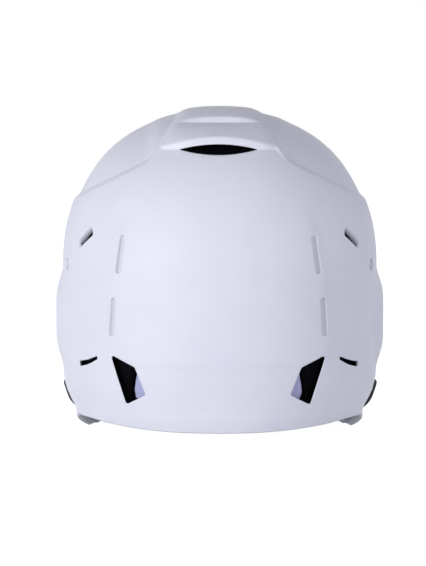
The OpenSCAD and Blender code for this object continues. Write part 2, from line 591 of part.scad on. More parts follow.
shell();
crown_pad();
front_pad();
brow_band();
upper_back_pad();
back_pad();
nape_pad();
side_pad();  // side_pad_left
right_side() side_pad();  // side_pad_right
occiput_pad();  // occiput_pad_left
right_side() occiput_pad();  // occiput_pad_right
rear_side_pad();  // rear_side_pad_left
right_side() rear_side_pad();  // rear_side_pad_right
ear_pad();  // ear_pad_left
right_side() ear_pad();  // ear_pad_right
jaw_pad();  // jaw_pad_left
right_side() jaw_pad();  // jaw_pad_right
pad_fasteners();
face_guard();
brow_clip();  // brow_clip_left
right_side() brow_clip();  // brow_clip_right
temple_clip();  // temple_clip_left
right_side() temple_clip();  // temple_clip_right
jaw_clip();  // jaw_clip_left
right_side() jaw_clip();  // jaw_clip_right
clip_screws();
clip_nuts();
strap_studs();
stud_backs();
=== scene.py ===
"""A softball batting helmet, put together from its moulded shell outwards and inwards."""
import math

import bpy
import numpy as np
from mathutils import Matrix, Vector


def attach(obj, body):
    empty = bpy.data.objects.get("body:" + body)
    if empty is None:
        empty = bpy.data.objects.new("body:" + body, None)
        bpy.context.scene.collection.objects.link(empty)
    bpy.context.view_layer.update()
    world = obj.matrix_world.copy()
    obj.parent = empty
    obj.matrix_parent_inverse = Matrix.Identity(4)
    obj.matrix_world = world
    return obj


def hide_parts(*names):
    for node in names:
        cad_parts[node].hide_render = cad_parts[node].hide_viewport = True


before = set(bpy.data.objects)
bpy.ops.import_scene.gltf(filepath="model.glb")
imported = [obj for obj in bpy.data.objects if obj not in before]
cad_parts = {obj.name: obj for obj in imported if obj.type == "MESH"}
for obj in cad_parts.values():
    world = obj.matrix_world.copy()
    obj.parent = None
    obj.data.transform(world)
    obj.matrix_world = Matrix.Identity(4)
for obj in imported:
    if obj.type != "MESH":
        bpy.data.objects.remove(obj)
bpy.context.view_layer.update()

# The shell is one injection-moulded piece of impact plastic with a crown ridge, a cap over the
# exhaust slot, a bill and two ear flaps. It leaves the mould with its vents open, a rounded
# rim and a satin face; everything else is fastened to it. Sizes here are in millimetres.
MM = 0.001
belt_w, belt_z, dome_h = 222, 120, 109
back_l, front_l, bill_l = 125, 118, 165
wall = 3
back_rim_z = 15
jaw_tuck, jaw_tuck_z, jaw_tuck_bend = 17, 44, 1.45
nape_tuck, nape_tuck_z, nape_tuck_bend = 20, 75, 1.7
dome_y = (bill_l - back_l) / 2
dome_n, plan_n = 2.2, 2.15
wall_run = 1.56 * dome_h
ear_bulge, ear_y, ear_z, ear_bulge_r, ear_bulge_flat = 5, -8, 82, (52, 40), 0.45
temple_a, temple_z, bill_t = 127.5, 0.89 * belt_z, 0.91
bill_drop, bill_sweep, column_lean = 0.8, 1.6, 1.5
# Stations from the back round the ear flap to the bill's tip: the column's heading at the
# crown, its heading at the rim, and the height of the rim
RIM = np.array([
    [0, 0, back_rim_z], [13, 18, back_rim_z + 0.3], [27, 37, back_rim_z + 1.8],
    [40, 56, back_rim_z + 3.2], [53, 72, back_rim_z + 2], [64, 84, 0.83 * back_rim_z], [73, 93, 5.5],
    [83, 103, 0], [92, 112.5, 1.5], [104, 120, 0.21 * belt_z], [113, 121, 0.46 * belt_z],
    [121, 122.5, 0.7 * belt_z], [130, temple_a, temple_z], [141, 138, belt_z - 6],
    [153, 152, belt_z], [166, 166, belt_z + 3.5], [180, 180, belt_z + 4.5]])
LAST = len(RIM) - 1


def ramp(a, b, v):
    """A smooth step that is 0 up to a and 1 from b on."""
    t = np.clip((v - a) / (b - a), 0, 1)
    return t * t * (3 - 2 * t)


def mix(a, b, t):
    return a + (b - a) * t


def spow(v, p):
    """A power that keeps the sign."""
    return np.sign(v) * np.abs(v) ** p


def unit(v):
    return v / np.maximum(np.linalg.norm(v, axis=-1, keepdims=True), 1e-9)


def curve(points, s):
    """Points on a smooth curve through the listed ones, at s from 0 to the last point."""
    points = np.asarray(points, float)
    s = np.asarray(s, float)
    n = len(points) - 1
    k = np.clip(np.floor(s), 0, n - 1).astype(int)
    u = (s - k)[..., None]
    b, c = points[k], points[k + 1]
    a = np.where((k > 0)[..., None], points[np.maximum(k - 1, 0)], 2 * b - c)
    d = np.where((k < n - 1)[..., None], points[np.minimum(k + 2, n)], 2 * c - b)
    return b + 0.5 * u * (c - a + u * (2 * a - 5 * b + 4 * c - d + u * (3 * (b - c) + d - a)))


def height(q):
    """Height on the dome's profile at q, where 0 is the crown and 1 the belt."""
    fall = np.maximum(np.cos(np.radians(90 * np.minimum(q, 1))), 0)
    return np.where(q < 1, belt_z + dome_h * fall ** (2 / dome_n), belt_z - (q - 1) * wall_run)


def profile(z):
    """The place on the dome's profile that has this height."""
    rise = np.clip((z - belt_z) / dome_h, 0, 1) ** (dome_n / 2)
    return np.where(z < belt_z, 1 + (belt_z - z) / wall_run, np.degrees(np.arccos(rise)) / 90)


def jaw_draw(z):
    """How far the sides draw in towards the jaw."""
    return jaw_tuck * np.maximum(0, 1 - z / jaw_tuck_z) ** jaw_tuck_bend


def reach(z, back):
    """How far the wall lies behind the dome's middle, or in front of it."""
    nape_draw = nape_tuck * np.maximum(0, 1 - z / nape_tuck_z) ** nape_tuck_bend
    return np.where(back, back_l - nape_draw, front_l - jaw_draw(z))


def skin(a, q):
    """The smooth outer form, at heading a from the back towards the wearer's left."""
    z = height(q)
    share = np.where(q < 1, np.sin(np.radians(90 * np.minimum(q, 1))) ** (2 / dome_n), 1)
    ca, sa = np.cos(np.radians(a)), np.sin(np.radians(a))
    x = (belt_w / 2 - jaw_draw(z)) * share * spow(sa, 2 / plan_n)
    y = dome_y + reach(z, ca > 0) * share * spow(ca, 2 / plan_n)
    away = np.hypot((y - dome_y - ear_y) / ear_bulge_r[0], (z - ear_z) / ear_bulge_r[1])
    lift = ear_bulge * (1 - ramp(ear_bulge_flat, 1, away))
    return np.stack([x + np.sign(x) * lift, y, z + 0 * x], -1)


def normal_of(form, a, b, step_a, step_b):
    """The unit normal of a form at a, b, from the points a step to each side."""
    along = form(a + step_a, b) - form(a - step_a, b)
    return unit(np.cross(along, form(a, b + step_b) - form(a, b - step_b)))


def skin_normal(a, q):
    return normal_of(skin, a, q, 1, 0.005)


def bill(heading, z):
    """How far the bill carries the end of a column out from the forehead."""
    turn = np.clip(np.radians(90 * (180 - heading) / (180 - temple_a)), 0, np.pi / 2)
    root = skin(np.array(temple_a), profile(np.array(temple_z)))
    end = skin(heading, profile(z))
    x = root[0] * np.sin(turn) ** (2 / dome_n)
    y = dome_y - mix(dome_y - root[1], bill_l, np.cos(turn) ** (2 / dome_n))
    out = np.stack([x - end[..., 0], y - end[..., 1], 0 * turn], -1)
    return np.where((heading <= temple_a)[..., None], 0, out)


def sheet(s, t):
    """The outer face at station s along the rim and share t from the crown to the rim."""
    crown_a, rim_a, rim_z = np.moveaxis(np.maximum(0, curve(RIM, s)), -1, 0)
    w = np.clip((t - bill_t) / (1 - bill_t), 0, 1)
    out = bill(rim_a, rim_z)
    drop = 1 + bill_drop * np.linalg.norm(out, axis=-1) / (bill_l - front_l)
    share = np.where(t < bill_t, t, mix(bill_t, 1, 1 - (1 - w) ** drop))
    base = skin(mix(crown_a, rim_a, t ** column_lean), profile(rim_z) * share)
    return base + (w ** bill_sweep)[..., None] * out


# The crown ridge with its cap, step and arched lip, and the valleys above the shoulder creases.
# A pair gives where a form begins and where it is full.
ridge_h, ridge_front_x, flank_w, RIDGE_START = 2.4, 30, 11, (belt_z + 12, belt_z + 34)
cap_h, cap_step_y, cap_step_h, cap_step_x, CAP_STEP = 6, 52, 3.5, 30, (-2, 1)
cap_dip, cap_dip_y, cap_arch_y = 0.25, 1.6, 4
lip_y, lip_z, lip_h, lip_h_least, cap_slot_h = 84, belt_z + 0.79 * dome_h, 4, 1, 7
lip_arch, lip_end, lip_fall, LIP_FALL_X = 0.62, 36, 9, (37, 48)
CAP_SIDE = np.array([(lip_z - 10, 47), (lip_z - 2, 42), (belt_z + dome_h - 5, ridge_front_x)])
crease_z, crease_x, crease_fall, CREASE_X = belt_z + 0.694 * dome_h, 47, 0.5, (40, 52)
valley_d, VALLEY_FOOT, VALLEY_TOP, VALLEY_FRONT = 2.3, (-2, 3), (3, 42), (-70, -25)


def relief(p):
    """How far the ridge and cap stand out of the smooth form, less the valleys' depth."""
    x, y, z = np.abs(p[..., 0]), p[..., 1] - dome_y, p[..., 2]
    past_step = y - cap_step_y
    step = cap_step_h * np.clip(1 - (x / cap_step_x) ** 2, 0, 1)
    cap = mix(ridge_h - step, cap_h, past_step / (lip_y - cap_step_y))
    dip = cap_dip * step * np.exp(-(past_step - cap_dip_y) ** 2)
    rise = mix(ridge_h, cap, ramp(*CAP_STEP, past_step)) - dip
    foot = lip_z - cap_slot_h / 2 - lip_fall * ramp(*LIP_FALL_X, x)
    face = np.maximum(lip_h * (1 - (x / lip_end) ** 2), lip_h_least)
    arch = 1 - lip_arch * np.clip(x / lip_end, 0, 1) ** 2 * ramp(cap_step_y + cap_arch_y, lip_y, y)
    lip = np.where(y > 0, np.clip((z - foot) / face, 0, 1), ramp(*RIDGE_START, z))
    side = np.where(y > 0, np.interp(z, *CAP_SIDE.T), ridge_front_x)
    flank = np.clip((side - x) / flank_w, 0, 1)
    above = z - crease_z + crease_fall * (x - crease_x)
    valley = ramp(*CREASE_X, x) * ramp(*VALLEY_FOOT, above) * (1 - ramp(*VALLEY_TOP, above))
    return rise * arch * flank * (2 - flank) * lip - valley_d * valley * ramp(*VALLEY_FRONT, y)


# The finer moulded lines of the back: the edge of the back panel by height and distance from
# the middle plane, the crease under it, the bead above the rim, and the waist of the ear flap
# by height, which goes in where it is more than 0
PANEL_EDGE = np.array([(64, 70.4), (76, 71.6), (92, 70.2), (121, 67), (146, 62.5), (163, 55)])
panel_drop, panel_blend, panel_return, PANEL_FOOT, PANEL_TOP = 1.2, 9, 42, (60, 70), (150, 172)
low_crease_x, low_crease_z, low_crease_d, LOW_FIELD = 54, 60, 0.5, (24, 44)
bead_lift, bead_w, band_lift, flap_lift = 0.35, 1.4, 0.5, 1.2
RIM_BAND = np.array([(0, 12), (37, 9), (56, 5.5), (75, 5), (120, 4.5)])
REAR_A, FLAP_A = (104, 116), (66, 84)
WAIST = np.array([(0, -0.7), (7, -0.7), (11, -0.2), (14, 1.0), (16.5, 2.5), (21, 1.5), (27, 0.5),
                  (33, 0)])


def fine_relief(p, s):
    """How far the finer lines stand out at points p of stations s."""
    x, y, z = np.abs(p[..., 0]), p[..., 1] - dome_y, p[..., 2]
    past = x - np.interp(z, *PANEL_EDGE.T)
    panel = ramp(*PANEL_FOOT, z) * (1 - ramp(*PANEL_TOP, z)) * (y > 0)
    d = -panel_drop * ramp(0, panel_blend, past) * (1 - ramp(panel_blend, panel_return, past)) * panel
    field = (1 - ramp(-1.5, 1.5, z - low_crease_z)) * ramp(*LOW_FIELD, z)
    d = d - low_crease_d * field * (1 - ramp(-4, 4, x - low_crease_x)) * (y > 0)
    _, rim_a, rim_z = np.moveaxis(curve(RIM, s), -1, 0)
    over = z - rim_z - np.interp(rim_a, *RIM_BAND.T)
    rear, flap = 1 - ramp(*REAR_A, rim_a), ramp(*FLAP_A, rim_a)
    band = (band_lift + flap_lift * flap) * (1 - ramp(-2.5, 0, over))
    waist = flap * np.interp(z, *WAIST.T)
    return d + rear * (bead_lift * np.exp(-(over / bead_w) ** 2) + band - waist)


def normals(grid, pole):
    """The unit normals of a grid of points whose first row lies round the pole."""
    across = np.roll(grid, -1, 1) - np.roll(grid, 1, 1)
    up = np.concatenate([np.broadcast_to(pole, grid[:1].shape), grid[:-1]])
    return unit(np.cross(across, np.concatenate([grid[1:], grid[-1:]]) - up))


# Rows lie closer together round the cap, by their share from crown to rim, and columns round
# the windows and side slots, by their station
ROW_WEIGHTS = [(0, 0.9), (0.11, 0.9), (0.13, 1.5), (0.32, 1.5), (0.34, 0.9), (bill_t, 0.9)]
COLUMN_WEIGHTS = [(0, 1), (0.8, 1), (1.2, 1.5), (3.8, 1.5), (4.4, 1), (10, 1), (12, 0.75),
                  (LAST, 0.75)]


def spaced(count, weights):
    """Steps from the first place to the last, closer together where the weight is greater."""
    at, weight = np.array(weights).T
    fine = np.linspace(at[0], at[-1], 800)
    weight = np.interp(fine, at, weight)
    total = np.concatenate([[0], np.cumsum((weight[1:] + weight[:-1]) / 2)])
    return np.interp(np.linspace(0, total[-1], count + 1), total, fine)


def moulded(half_cols, dome_rows, rim_rows, detail):
    """Rows of points on the shell's outer face, their normals, stations and the crown's point."""
    rim_t = bill_t + (1 - bill_t) * np.arange(1, rim_rows + 1) / rim_rows
    t = np.concatenate([spaced(dome_rows, ROW_WEIGHTS)[1:], rim_t])
    s = spaced(half_cols, COLUMN_WEIGHTS)
    grid_s, grid_t = np.meshgrid(s, t)
    half = sheet(grid_s, grid_t)
    base = np.concatenate([half, half[:, -2:0:-1] * [-1, 1, 1]], 1)
    all_s = np.concatenate([s, s[-2:0:-1]])
    pole = np.array([0, dome_y, belt_z + dome_h])
    grid = base + relief(base)[..., None] * normals(base, pole)
    pole = pole + [0, 0, ridge_h]
    lift = normals(grid, pole)
    if detail:
        grid = grid + fine_relief(base, np.broadcast_to(all_s, grid.shape[:2]))[..., None] * lift
        grid[..., 2] = np.maximum(grid[..., 2], 0)
    return grid, normals(grid, pole), all_s, pole


def slot(line, bulge=1):
    """The outline of a slot along its middle line, whose points come with its width there. Its
    ends are half rounds, or flatter ones for a smaller bulge."""
    line = curve(line, np.linspace(0, len(line) - 1, 24))
    middle, half = line[:, :2], line[:, 2:] / 2
    ahead = unit(np.gradient(middle, axis=0))
    side = np.stack([-ahead[:, 1], ahead[:, 0]], -1)
    turn = np.radians(np.linspace(-90, 90, 13))[1:-1, None]

    def cap(k, way):
        return middle[k] + way * half[k] * (bulge * np.cos(turn) * ahead[k] + np.sin(turn) * side[k])
    return np.concatenate([middle - half * side, cap(-1, 1), (middle + half * side)[::-1], cap(0, -1)])


def rounded(corners, r):
    """A polygon's outline with its corners rounded."""
    corners = [np.array(c, float) for c in corners]
    out = []
    for before, corner, after in zip(corners[-1:] + corners[:-1], corners, corners[1:] + corners[:1]):
        u, v = unit(before - corner), unit(after - corner)
        half = np.arccos(np.clip(u @ v, -1, 1)) / 2
        start, end = corner + u * r / np.tan(half), corner + v * r / np.tan(half)
        for k in np.linspace(0, 1, 7):
            out.append(mix(mix(start, corner, k), mix(corner, end, k), k))
    return np.array(out)


def lens(w, h, z):
    """The outline between two equal arcs that cross at its ends."""
    r = ((w / 2) ** 2 + (h / 2) ** 2) / h
    x = np.linspace(-w / 2, w / 2, 60)[:-1]
    arc = np.sqrt(r * r - x * x) - (r - h / 2)
    return np.concatenate([np.stack([x, z + arc], -1), np.stack([-x, z - arc], -1)])


cap_slot_w, slot_w = 52, 3
ear_hole_l, ear_hole_h = 30, 38
WINDOW = [(71.7, 66.5), (55.3, 59.2), (48.1, 40.8), (61.2, 33.1)]
window_round = 1.6
back_slot_a, front_slot_a = 50, 158
UPPER_SLOT = [(8.4, 138.7, 1.85 * slot_w), (-4.7, 147.2, 2.05 * slot_w)]
UPPER_SLIT = [(7.2, 137.1, 0.7 * slot_w), (-5.5, 146, 1.2 * slot_w)]
LOWER_SLOT = [(7.4, 56.8, 1.15 * slot_w), (-4, 59.2, slot_w), (-14.4, 62.9, 0.72 * slot_w)]
LOW_INTAKE = [(-14, belt_z + 42, 2 * slot_w), (14, belt_z + 50, 2 * slot_w)]
HIGH_INTAKE = [(-9, belt_z + 68, 2 * slot_w), (11, belt_z + 75, 2 * slot_w)]
ear_middle = (ear_hole_h - ear_hole_l) / 2
EAR_HOLE = [(0, ear_z - ear_middle, ear_hole_l), (0, ear_z + ear_middle, ear_hole_l)]
# Each vent: heading it faces, place of its middle plane behind the dome's middle, outline,
# the outline's sharp corners, its outline inside, and how much wider that is made
vent_edge, vent_draft = 0.7, 1.8
lens_z = lip_z - cap_slot_h / 2
lens_ends = [(-cap_slot_w / 2, lens_z), (cap_slot_w / 2, lens_z)]
cap_slot = lens(cap_slot_w, cap_slot_h, lens_z)
slot_bulge = 0.5
# The upper slot narrows to a slit inside the wall; the other vents keep their outline
VENTS = [(0, 0, cap_slot, lens_ends, cap_slot, vent_draft)]
ear_hole = slot(EAR_HOLE)
for side in (1, -1):
    window = rounded(WINDOW, window_round) * [side, 1]
    VENTS.append((0, 0, window, [], window, vent_draft))
    VENTS.append((side * 90, ear_y, ear_hole, [], ear_hole, vent_draft))
    for facing, line, inner_line, draft in (
            (back_slot_a, UPPER_SLOT, UPPER_SLIT, 0),
            (back_slot_a, LOWER_SLOT, LOWER_SLOT, vent_draft),
            (front_slot_a, LOW_INTAKE, LOW_INTAKE, vent_draft),
            (front_slot_a, HIGH_INTAKE, HIGH_INTAKE, vent_draft)):
        outline, inner_outline = (slot(form, slot_bulge) * [side, 1] for form in (line, inner_line))
        VENTS.append((side * facing, 0, outline, [], inner_outline, draft))


trace_step, least_facing = 0.1, 0.35


def trace(outline):
    """The outline in even steps, with the unit directions into it; it runs anticlockwise."""
    area = np.cross(outline, np.roll(outline, -1, 0)).sum()
    if area < 0:
        outline = outline[::-1]
    closed = np.concatenate([outline, outline[:1]])
    run = np.concatenate([[0], np.cumsum(np.linalg.norm(np.diff(closed, axis=0), axis=1))])
    where = np.arange(0, run[-1], trace_step)
    line = np.stack([np.interp(where, run, closed[:, k]) for k in (0, 1)], -1)
    ahead = unit(np.roll(line, -4, 0) - np.roll(line, 4, 0))
    return line, np.stack([-ahead[:, 1], ahead[:, 0]], -1)


def inside(p, outline):
    """Whether points lie inside a closed outline, by counting its crossings."""
    a, b = outline, np.roll(outline, -1, 0)
    over = (a[None, :, 1] > p[:, None, 1]) != (b[None, :, 1] > p[:, None, 1])
    rise = np.where(b[:, 1] == a[:, 1], 1e-9, b[:, 1] - a[:, 1])
    x = a[None, :, 0] + (p[:, None, 1] - a[None, :, 1]) / rise[None] * (b[:, 0] - a[:, 0])[None]
    return (over & (p[:, None, 0] < x)).sum(1) % 2 == 1


def even(place, rounds=6):
    """Smooths the places of a loop's points along an outline, and keeps them in order."""
    for _ in range(rounds):
        before = np.concatenate([place[-1:] - 1, place[:-1]])
        after = np.concatenate([place[1:], place[:1] + 1])
        place = 0.4 * place + 0.3 * (before + after)
    return place


def lifted(flat, normal, ex, w):
    """A step in the plane that a vent faces, kept in the surface with this normal."""
    fall = (flat[0] * (normal @ ex) + flat[1] * normal[2]) / max(normal @ w, least_facing)
    return flat[0] * ex + np.array([0, 0, flat[1]]) - fall * w


def zipper(faces, edge, edge_at, other, other_at):
    """Joins two closed loops, whose places rise together, with triangles."""
    start = int(np.argmin(np.abs((other_at - edge_at[0] + 0.5) % 1 - 0.5)))
    other = other[start:] + other[:start]
    other_at = np.concatenate([other_at[start:], other_at[:start] + 1])
    other_at = other_at - round(other_at[0] - edge_at[0])
    n, m = len(edge), len(other)
    i = j = 0
    while i < n or j < m:
        next_i = edge_at[(i + 1) % n] + (i + 1) // n if i < n else 1e9
        next_j = other_at[(j + 1) % m] + (j + 1) // m if j < m else 1e9
        if next_i <= next_j:
            faces.append([edge[i % n], edge[(i + 1) % n], other[j % m]])
            i += 1
        else:
            faces.append([edge[i % n], other[(j + 1) % m], other[j % m]])
            j += 1


# Near the crown, rows whose points lie closer than these shares of the widest spacing keep
# every fourth column, or every other one
quarter_share, half_share = 0.225, 0.45
# The rings of a recess: how far each lies across and down its edge, and then up its foot
EDGE_RINGS, FOOT_RINGS = ((0.3, 0.05), (0.7, 0.3), (1, 1)), ((1, 1), (1.6, 0.7), (2.6, 0))
recess_posts = 9


class Skin:
    """A face of the shell while its vents are opened: points, normals, grid cells and others."""

    def __init__(self, grid, normal, pole, outward):
        rows, cols = grid.shape[:2]
        self.points = list(grid.reshape(-1, 3)) + [pole]
        self.normals = list(normal.reshape(-1, 3)) + [np.array([0, 0, 1.0])]
        self.cells, self.others, self.pressed = [], [], []
        around = np.linalg.norm(np.roll(grid, 1, 1) - grid, axis=-1).mean(1)
        shares = around / around.max()
        stride = [4 if d < quarter_share else 2 if d < half_share else 1 for d in shares]
        order = 1 if outward else -1
        for i in range(0, cols, stride[0]):
            self.others.append([rows * cols, i, (i + stride[0]) % cols][::order])
        for j in range(rows - 1):
            a, b, step, fine = j * cols, (j + 1) * cols, stride[j], stride[j + 1]
            for i in range(0, cols, step):
                k = (i + step) % cols
                if step == fine:
                    self.cells.append([a + i, b + i, b + k, a + k][::order])
                else:
                    m = (i + fine) % cols
                    for face in ([a + i, b + i, b + m], [a + i, b + m, a + k], [a + k, b + m, b + k]):
                        self.others.append(face[::order])
        self.cells = np.array(self.cells)
        self.rim = [(rows - 1) * cols + i for i in range(cols)]

    def add(self, point, normal):
        self.points.append(point)
        self.normals.append(normal)
        return len(self.points) - 1

    def open_up(self, vent, grow, lay, split):
        """Removes the cells inside a vent's outline grown by grow, and lays the edge along it
        grown by lay."""
        heading, y0, outline, corners = vent
        a = math.radians(heading)
        # ex runs across the plane that the vent faces, and w out of it
        ex, w = np.array([math.cos(a), -math.sin(a), 0]), np.array([math.sin(a), math.cos(a), 0])
        middle = np.array([0, dome_y + y0, 0])
        line, inward = trace(outline)
        grown = line - grow * inward
        centres = np.array(self.points)[self.cells].mean(1) - middle
        flat = np.stack([centres @ ex, centres[:, 2]], -1)
        low, high = grown.min(0), grown.max(0)
        close = np.all((flat > low) & (flat < high), 1) & (centres @ w > 0)
        hit = np.zeros(len(self.cells), bool)
        hit[close] = inside(flat[close], grown)
        taken = self.cells[hit]
        self.cells = self.cells[~hit]
        edges = {(q[k], q[(k + 1) % 4]) for q in taken for k in range(4)}
        ahead = dict(e for e in edges if e[::-1] not in edges)
        start = next(iter(ahead))
        loop = [start]
        while ahead[loop[-1]] != start:
            loop.append(ahead[loop[-1]])
        grown = line - lay * inward
        if split:
            loop = self.split_edges(loop)
        place, at2 = self.places(loop, grown, middle, ex)
        if place[-1] < place[0]:
            loop.reverse()
            place, at2 = self.places(loop, grown, middle, ex)
        place = even(place)
        for c in corners:
            target = np.argmin(((line - c) ** 2).sum(-1)) / len(line)
            k = np.argmin(np.abs((place - target + 0.5) % 1 - 0.5))
            place[k] += (target - place[k] + 0.5) % 1 - 0.5
        spot = (place % 1 * len(grown)).astype(int) % len(grown)
        for i, k, old in zip(loop, spot, at2):
            self.points[i] = self.points[i] + lifted(grown[k] - old, self.normals[i], ex, w)
        return loop, place, inward[spot], ex, w

    def flat(self, loop, middle, ex):
        """The points of a loop, and their places in the plane that a vent faces."""
        at = np.array([self.points[i] for i in loop])
        return at, np.stack([(at - middle) @ ex, at[:, 2]], -1)

    def places(self, loop, outline, middle, ex):
        """How far along an outline each point of a loop lies, in turns, and its flat place."""
        flat = self.flat(loop, middle, ex)[1]
        place = np.argmin(((flat[:, None] - outline[None]) ** 2).sum(-1), 1) / len(outline)
        step = (np.diff(place) + 0.5) % 1 - 0.5
        return place[0] + np.concatenate([[0], np.cumsum(step)]), flat

    def split_edges(self, loop):
        """Halves the edges of a loop; the cells beside it become faces of more corners."""
        pairs = {}
        out = []
        for a, b in zip(loop, loop[1:] + loop[:1]):
            m = self.add((self.points[a] + self.points[b]) / 2, unit(self.normals[a] + self.normals[b]))
            pairs[(b, a)] = m
            out += [a, m]
        beside = np.isin(self.cells, loop).sum(1) >= 2
        for q in self.cells[beside]:
            face = []
            for a, b in zip(q, np.roll(q, -1)):
                face.append(a)
                if (a, b) in pairs:
                    face.append(pairs[(a, b)])
            self.others.append(face)
        self.cells = self.cells[~beside]
        return out

    def next_ring(self, ring, loop, inward, ex, w, across, down, way=None):
        """Joins a ring to a new one, which is the loop moved across the face and down."""
        step = []
        for i, d in zip(loop, inward):
            normal = self.normals[i]
            sink = down * (normal if way is None else way)
            step.append(self.add(self.points[i] + lifted(across * d, normal, ex, w) - sink, normal))
        for a, b, c, d in zip(ring, ring[1:] + ring[:1], step[1:] + step[:1], step):
            self.others.append([a, b, c, d])
        return step

    def press(self, heading, ends, r, depth, edge):
        """Presses in a flat-bottomed recess of radius r round the line between two ends."""
        ends = np.array(ends, float)
        outline = slot([(*e, 2 * r) for e in ends])
        loop, place, inward, ex, w = self.open_up((heading, 0, outline, []), edge, edge, True)
        ring = loop
        for across, down in EDGE_RINGS:
            ring = self.next_ring(ring, loop, inward, ex, w, edge * across, edge * down)
        first = len(self.others)
        for across, down in FOOT_RINGS:
            ring = self.next_ring(ring, loop, inward, ex, w, edge * across, depth - edge * down)
        at, flat = self.flat(ring, np.array([0, dome_y, 0]), ex)
        line, _ = trace(outline)
        ahead = unit(ends[1] - ends[0])
        aside = np.array([-ahead[1], ahead[0]])
        posts = []
        for k in np.linspace(0, 1, recess_posts):
            spot = mix(ends[0], ends[1], k)
            ways = (-ahead,) if k == 0 else (ahead,) if k == 1 else (aside, -aside)
            pair = [np.argmin(((flat - spot - way * r) ** 2).sum(-1)) for way in (aside, -aside)]
            normal = unit(self.normals[ring[pair[0]]] + self.normals[ring[pair[1]]])
            post = self.add(at[pair].mean(0), normal)
            for way in ways:
                nearest = np.argmin(((line - spot - way * r) ** 2).sum(-1))
                posts.append((nearest / len(line), post))
        posts.sort()
        zipper(self.others, ring, place, [p for _, p in posts], np.array([k for k, _ in posts]))
        self.pressed += range(first, len(self.others))


# Half the columns, the rows over the dome and the rows near the rim of each face
OUTER_GRID, HOLLOW_GRID = (200, 166, 30), (124, 58, 12)
grid, normal, outer_s, crown = moulded(*OUTER_GRID, True)
outer = Skin(grid, normal, crown, True)
coarse, coarse_normal, inner_s, _ = moulded(*HOLLOW_GRID, False)
hollow = Skin(coarse - wall * coarse_normal, coarse_normal, crown - [0, 0, wall], False)
joined = []
edge_steps = 3
for *vent, inner_outline, draft in VENTS:
    loop, place, inward, ex, w = outer.open_up(vent, vent_edge, vent_edge, True)
    ring = loop
    for k in range(1, edge_steps + 1):
        turn = math.radians(90 * k / edge_steps)
        ring = outer.next_ring(ring, loop, inward, ex, w, vent_edge * math.sin(turn),
                               vent_edge * (1 - math.cos(turn)), w)
    inner_vent = [*vent[:2], inner_outline, vent[3]]
    back_loop, back_place, *_ = hollow.open_up(inner_vent, vent_draft, draft, False)
    joined.append((ring, place, back_loop, back_place))
# Flat-bottomed recesses beside the back panel and above the ears: the heading each faces, the
# ends of its middle line, its radius and its depth
RECESSES = [
    (0, ((63.4, 144.6), (66.5, 122.9)), 1.85, 2.4), (0, ((69.7, 102.8), (71.1, 81)), 1.85, 2.4),
    (75, ((-17.5, 123), (-14.5, 123)), 3.8, 2.4)]
recess_edge = 0.45
for facing, ends, r, depth in RECESSES:
    for side in (1, -1):
        outer.press(side * facing, np.array(ends) * [side, 1], r, depth, recess_edge)


def node(tree, kind, values=None, links=None, **settings):
    """A node with its settings, its sockets' plain values and what its sockets are fed by."""
    made = tree.nodes.new("ShaderNode" + kind)
    for name, value in settings.items():
        setattr(made, name, value)
    for socket, value in (values or {}).items():
        made.inputs[socket].default_value = value
    for socket, source in (links or {}).items():
        tree.links.new(source, made.inputs[socket])
    return made


def material(name, **plain):
    """A material with its shader, whose plain numbers are set on the shader's own sockets."""
    made = bpy.data.materials.new(name)
    made.use_nodes = True
    shader = made.node_tree.nodes["Principled BSDF"]
    for socket, value in plain.items():
        shader.inputs[socket.replace("_", " ").title().replace("Ior", "IOR")].default_value = value
    return made, made.node_tree, shader


def noise(tree, place, scale, **values):
    """A cloudy noise at a place, whose scale another socket gives."""
    return node(tree, "TexNoise", values, {"Vector": place, "Scale": scale}).outputs["Fac"]


def effect(name, sizes, build):
    """A shader group: its inputs are sizes, given with their values, and its outputs are what
    build makes from the place on the object and those inputs."""
    group = bpy.data.node_groups.new(name, "ShaderNodeTree")
    for label, value in sizes.items():
        socket = group.interface.new_socket(label, in_out="INPUT", socket_type="NodeSocketFloat")
        socket.default_value = value
    start = group.nodes.new("NodeGroupInput")
    made = build(group, node(group, "TexCoord").outputs["Object"], start.outputs)
    for label in made:
        group.interface.new_socket(label, in_out="OUTPUT", socket_type="NodeSocketFloat")
    end = group.nodes.new("NodeGroupOutput")
    for label, source in made.items():
        group.links.new(source, end.inputs[label])
    return group


def patterned(name, group, mask, colours, depth, rough=None, sizes=None, **plain):
    """A material patterned by a group: two colours and two roughness limits by its mask, and its
    Height as a bump of this depth."""
    made, tree, shader = material(name, **plain)
    use = node(tree, "Group", sizes, node_tree=group)
    blend = node(tree, "Mix", {"A": (*colours[0], 1), "B": (*colours[1], 1)},
                 {"Factor": use.outputs[mask]}, data_type="RGBA")
    tree.links.new(blend.outputs["Result"], shader.inputs["Base Color"])
    if rough:
        span = node(tree, "MapRange", {"To Min": rough[0], "To Max": rough[1]},
                    {"Value": use.outputs[mask]})
        tree.links.new(span.outputs["Result"], shader.inputs["Roughness"])
    bump = node(tree, "Bump", {"Strength": 1.0, "Distance": depth}, {"Height": use.outputs["Height"]})
    tree.links.new(bump.outputs["Normal"], shader.inputs["Normal"])
    return made


def grain(tree, place, sizes):
    """Moulded grain: fine pebbles, and broad cloudy handling marks."""
    pebbles = noise(tree, place, sizes["Pebbles"], Detail=2.0, Roughness=0.55)
    clouds = noise(tree, place, sizes["Clouds"], Detail=5.0, Roughness=0.62, Distortion=0.4)
    marks = node(tree, "MapRange", {"From Min": 0.35, "From Max": 0.7}, {"Value": clouds})
    return {"Height": pebbles, "Handling": marks.outputs["Result"]}


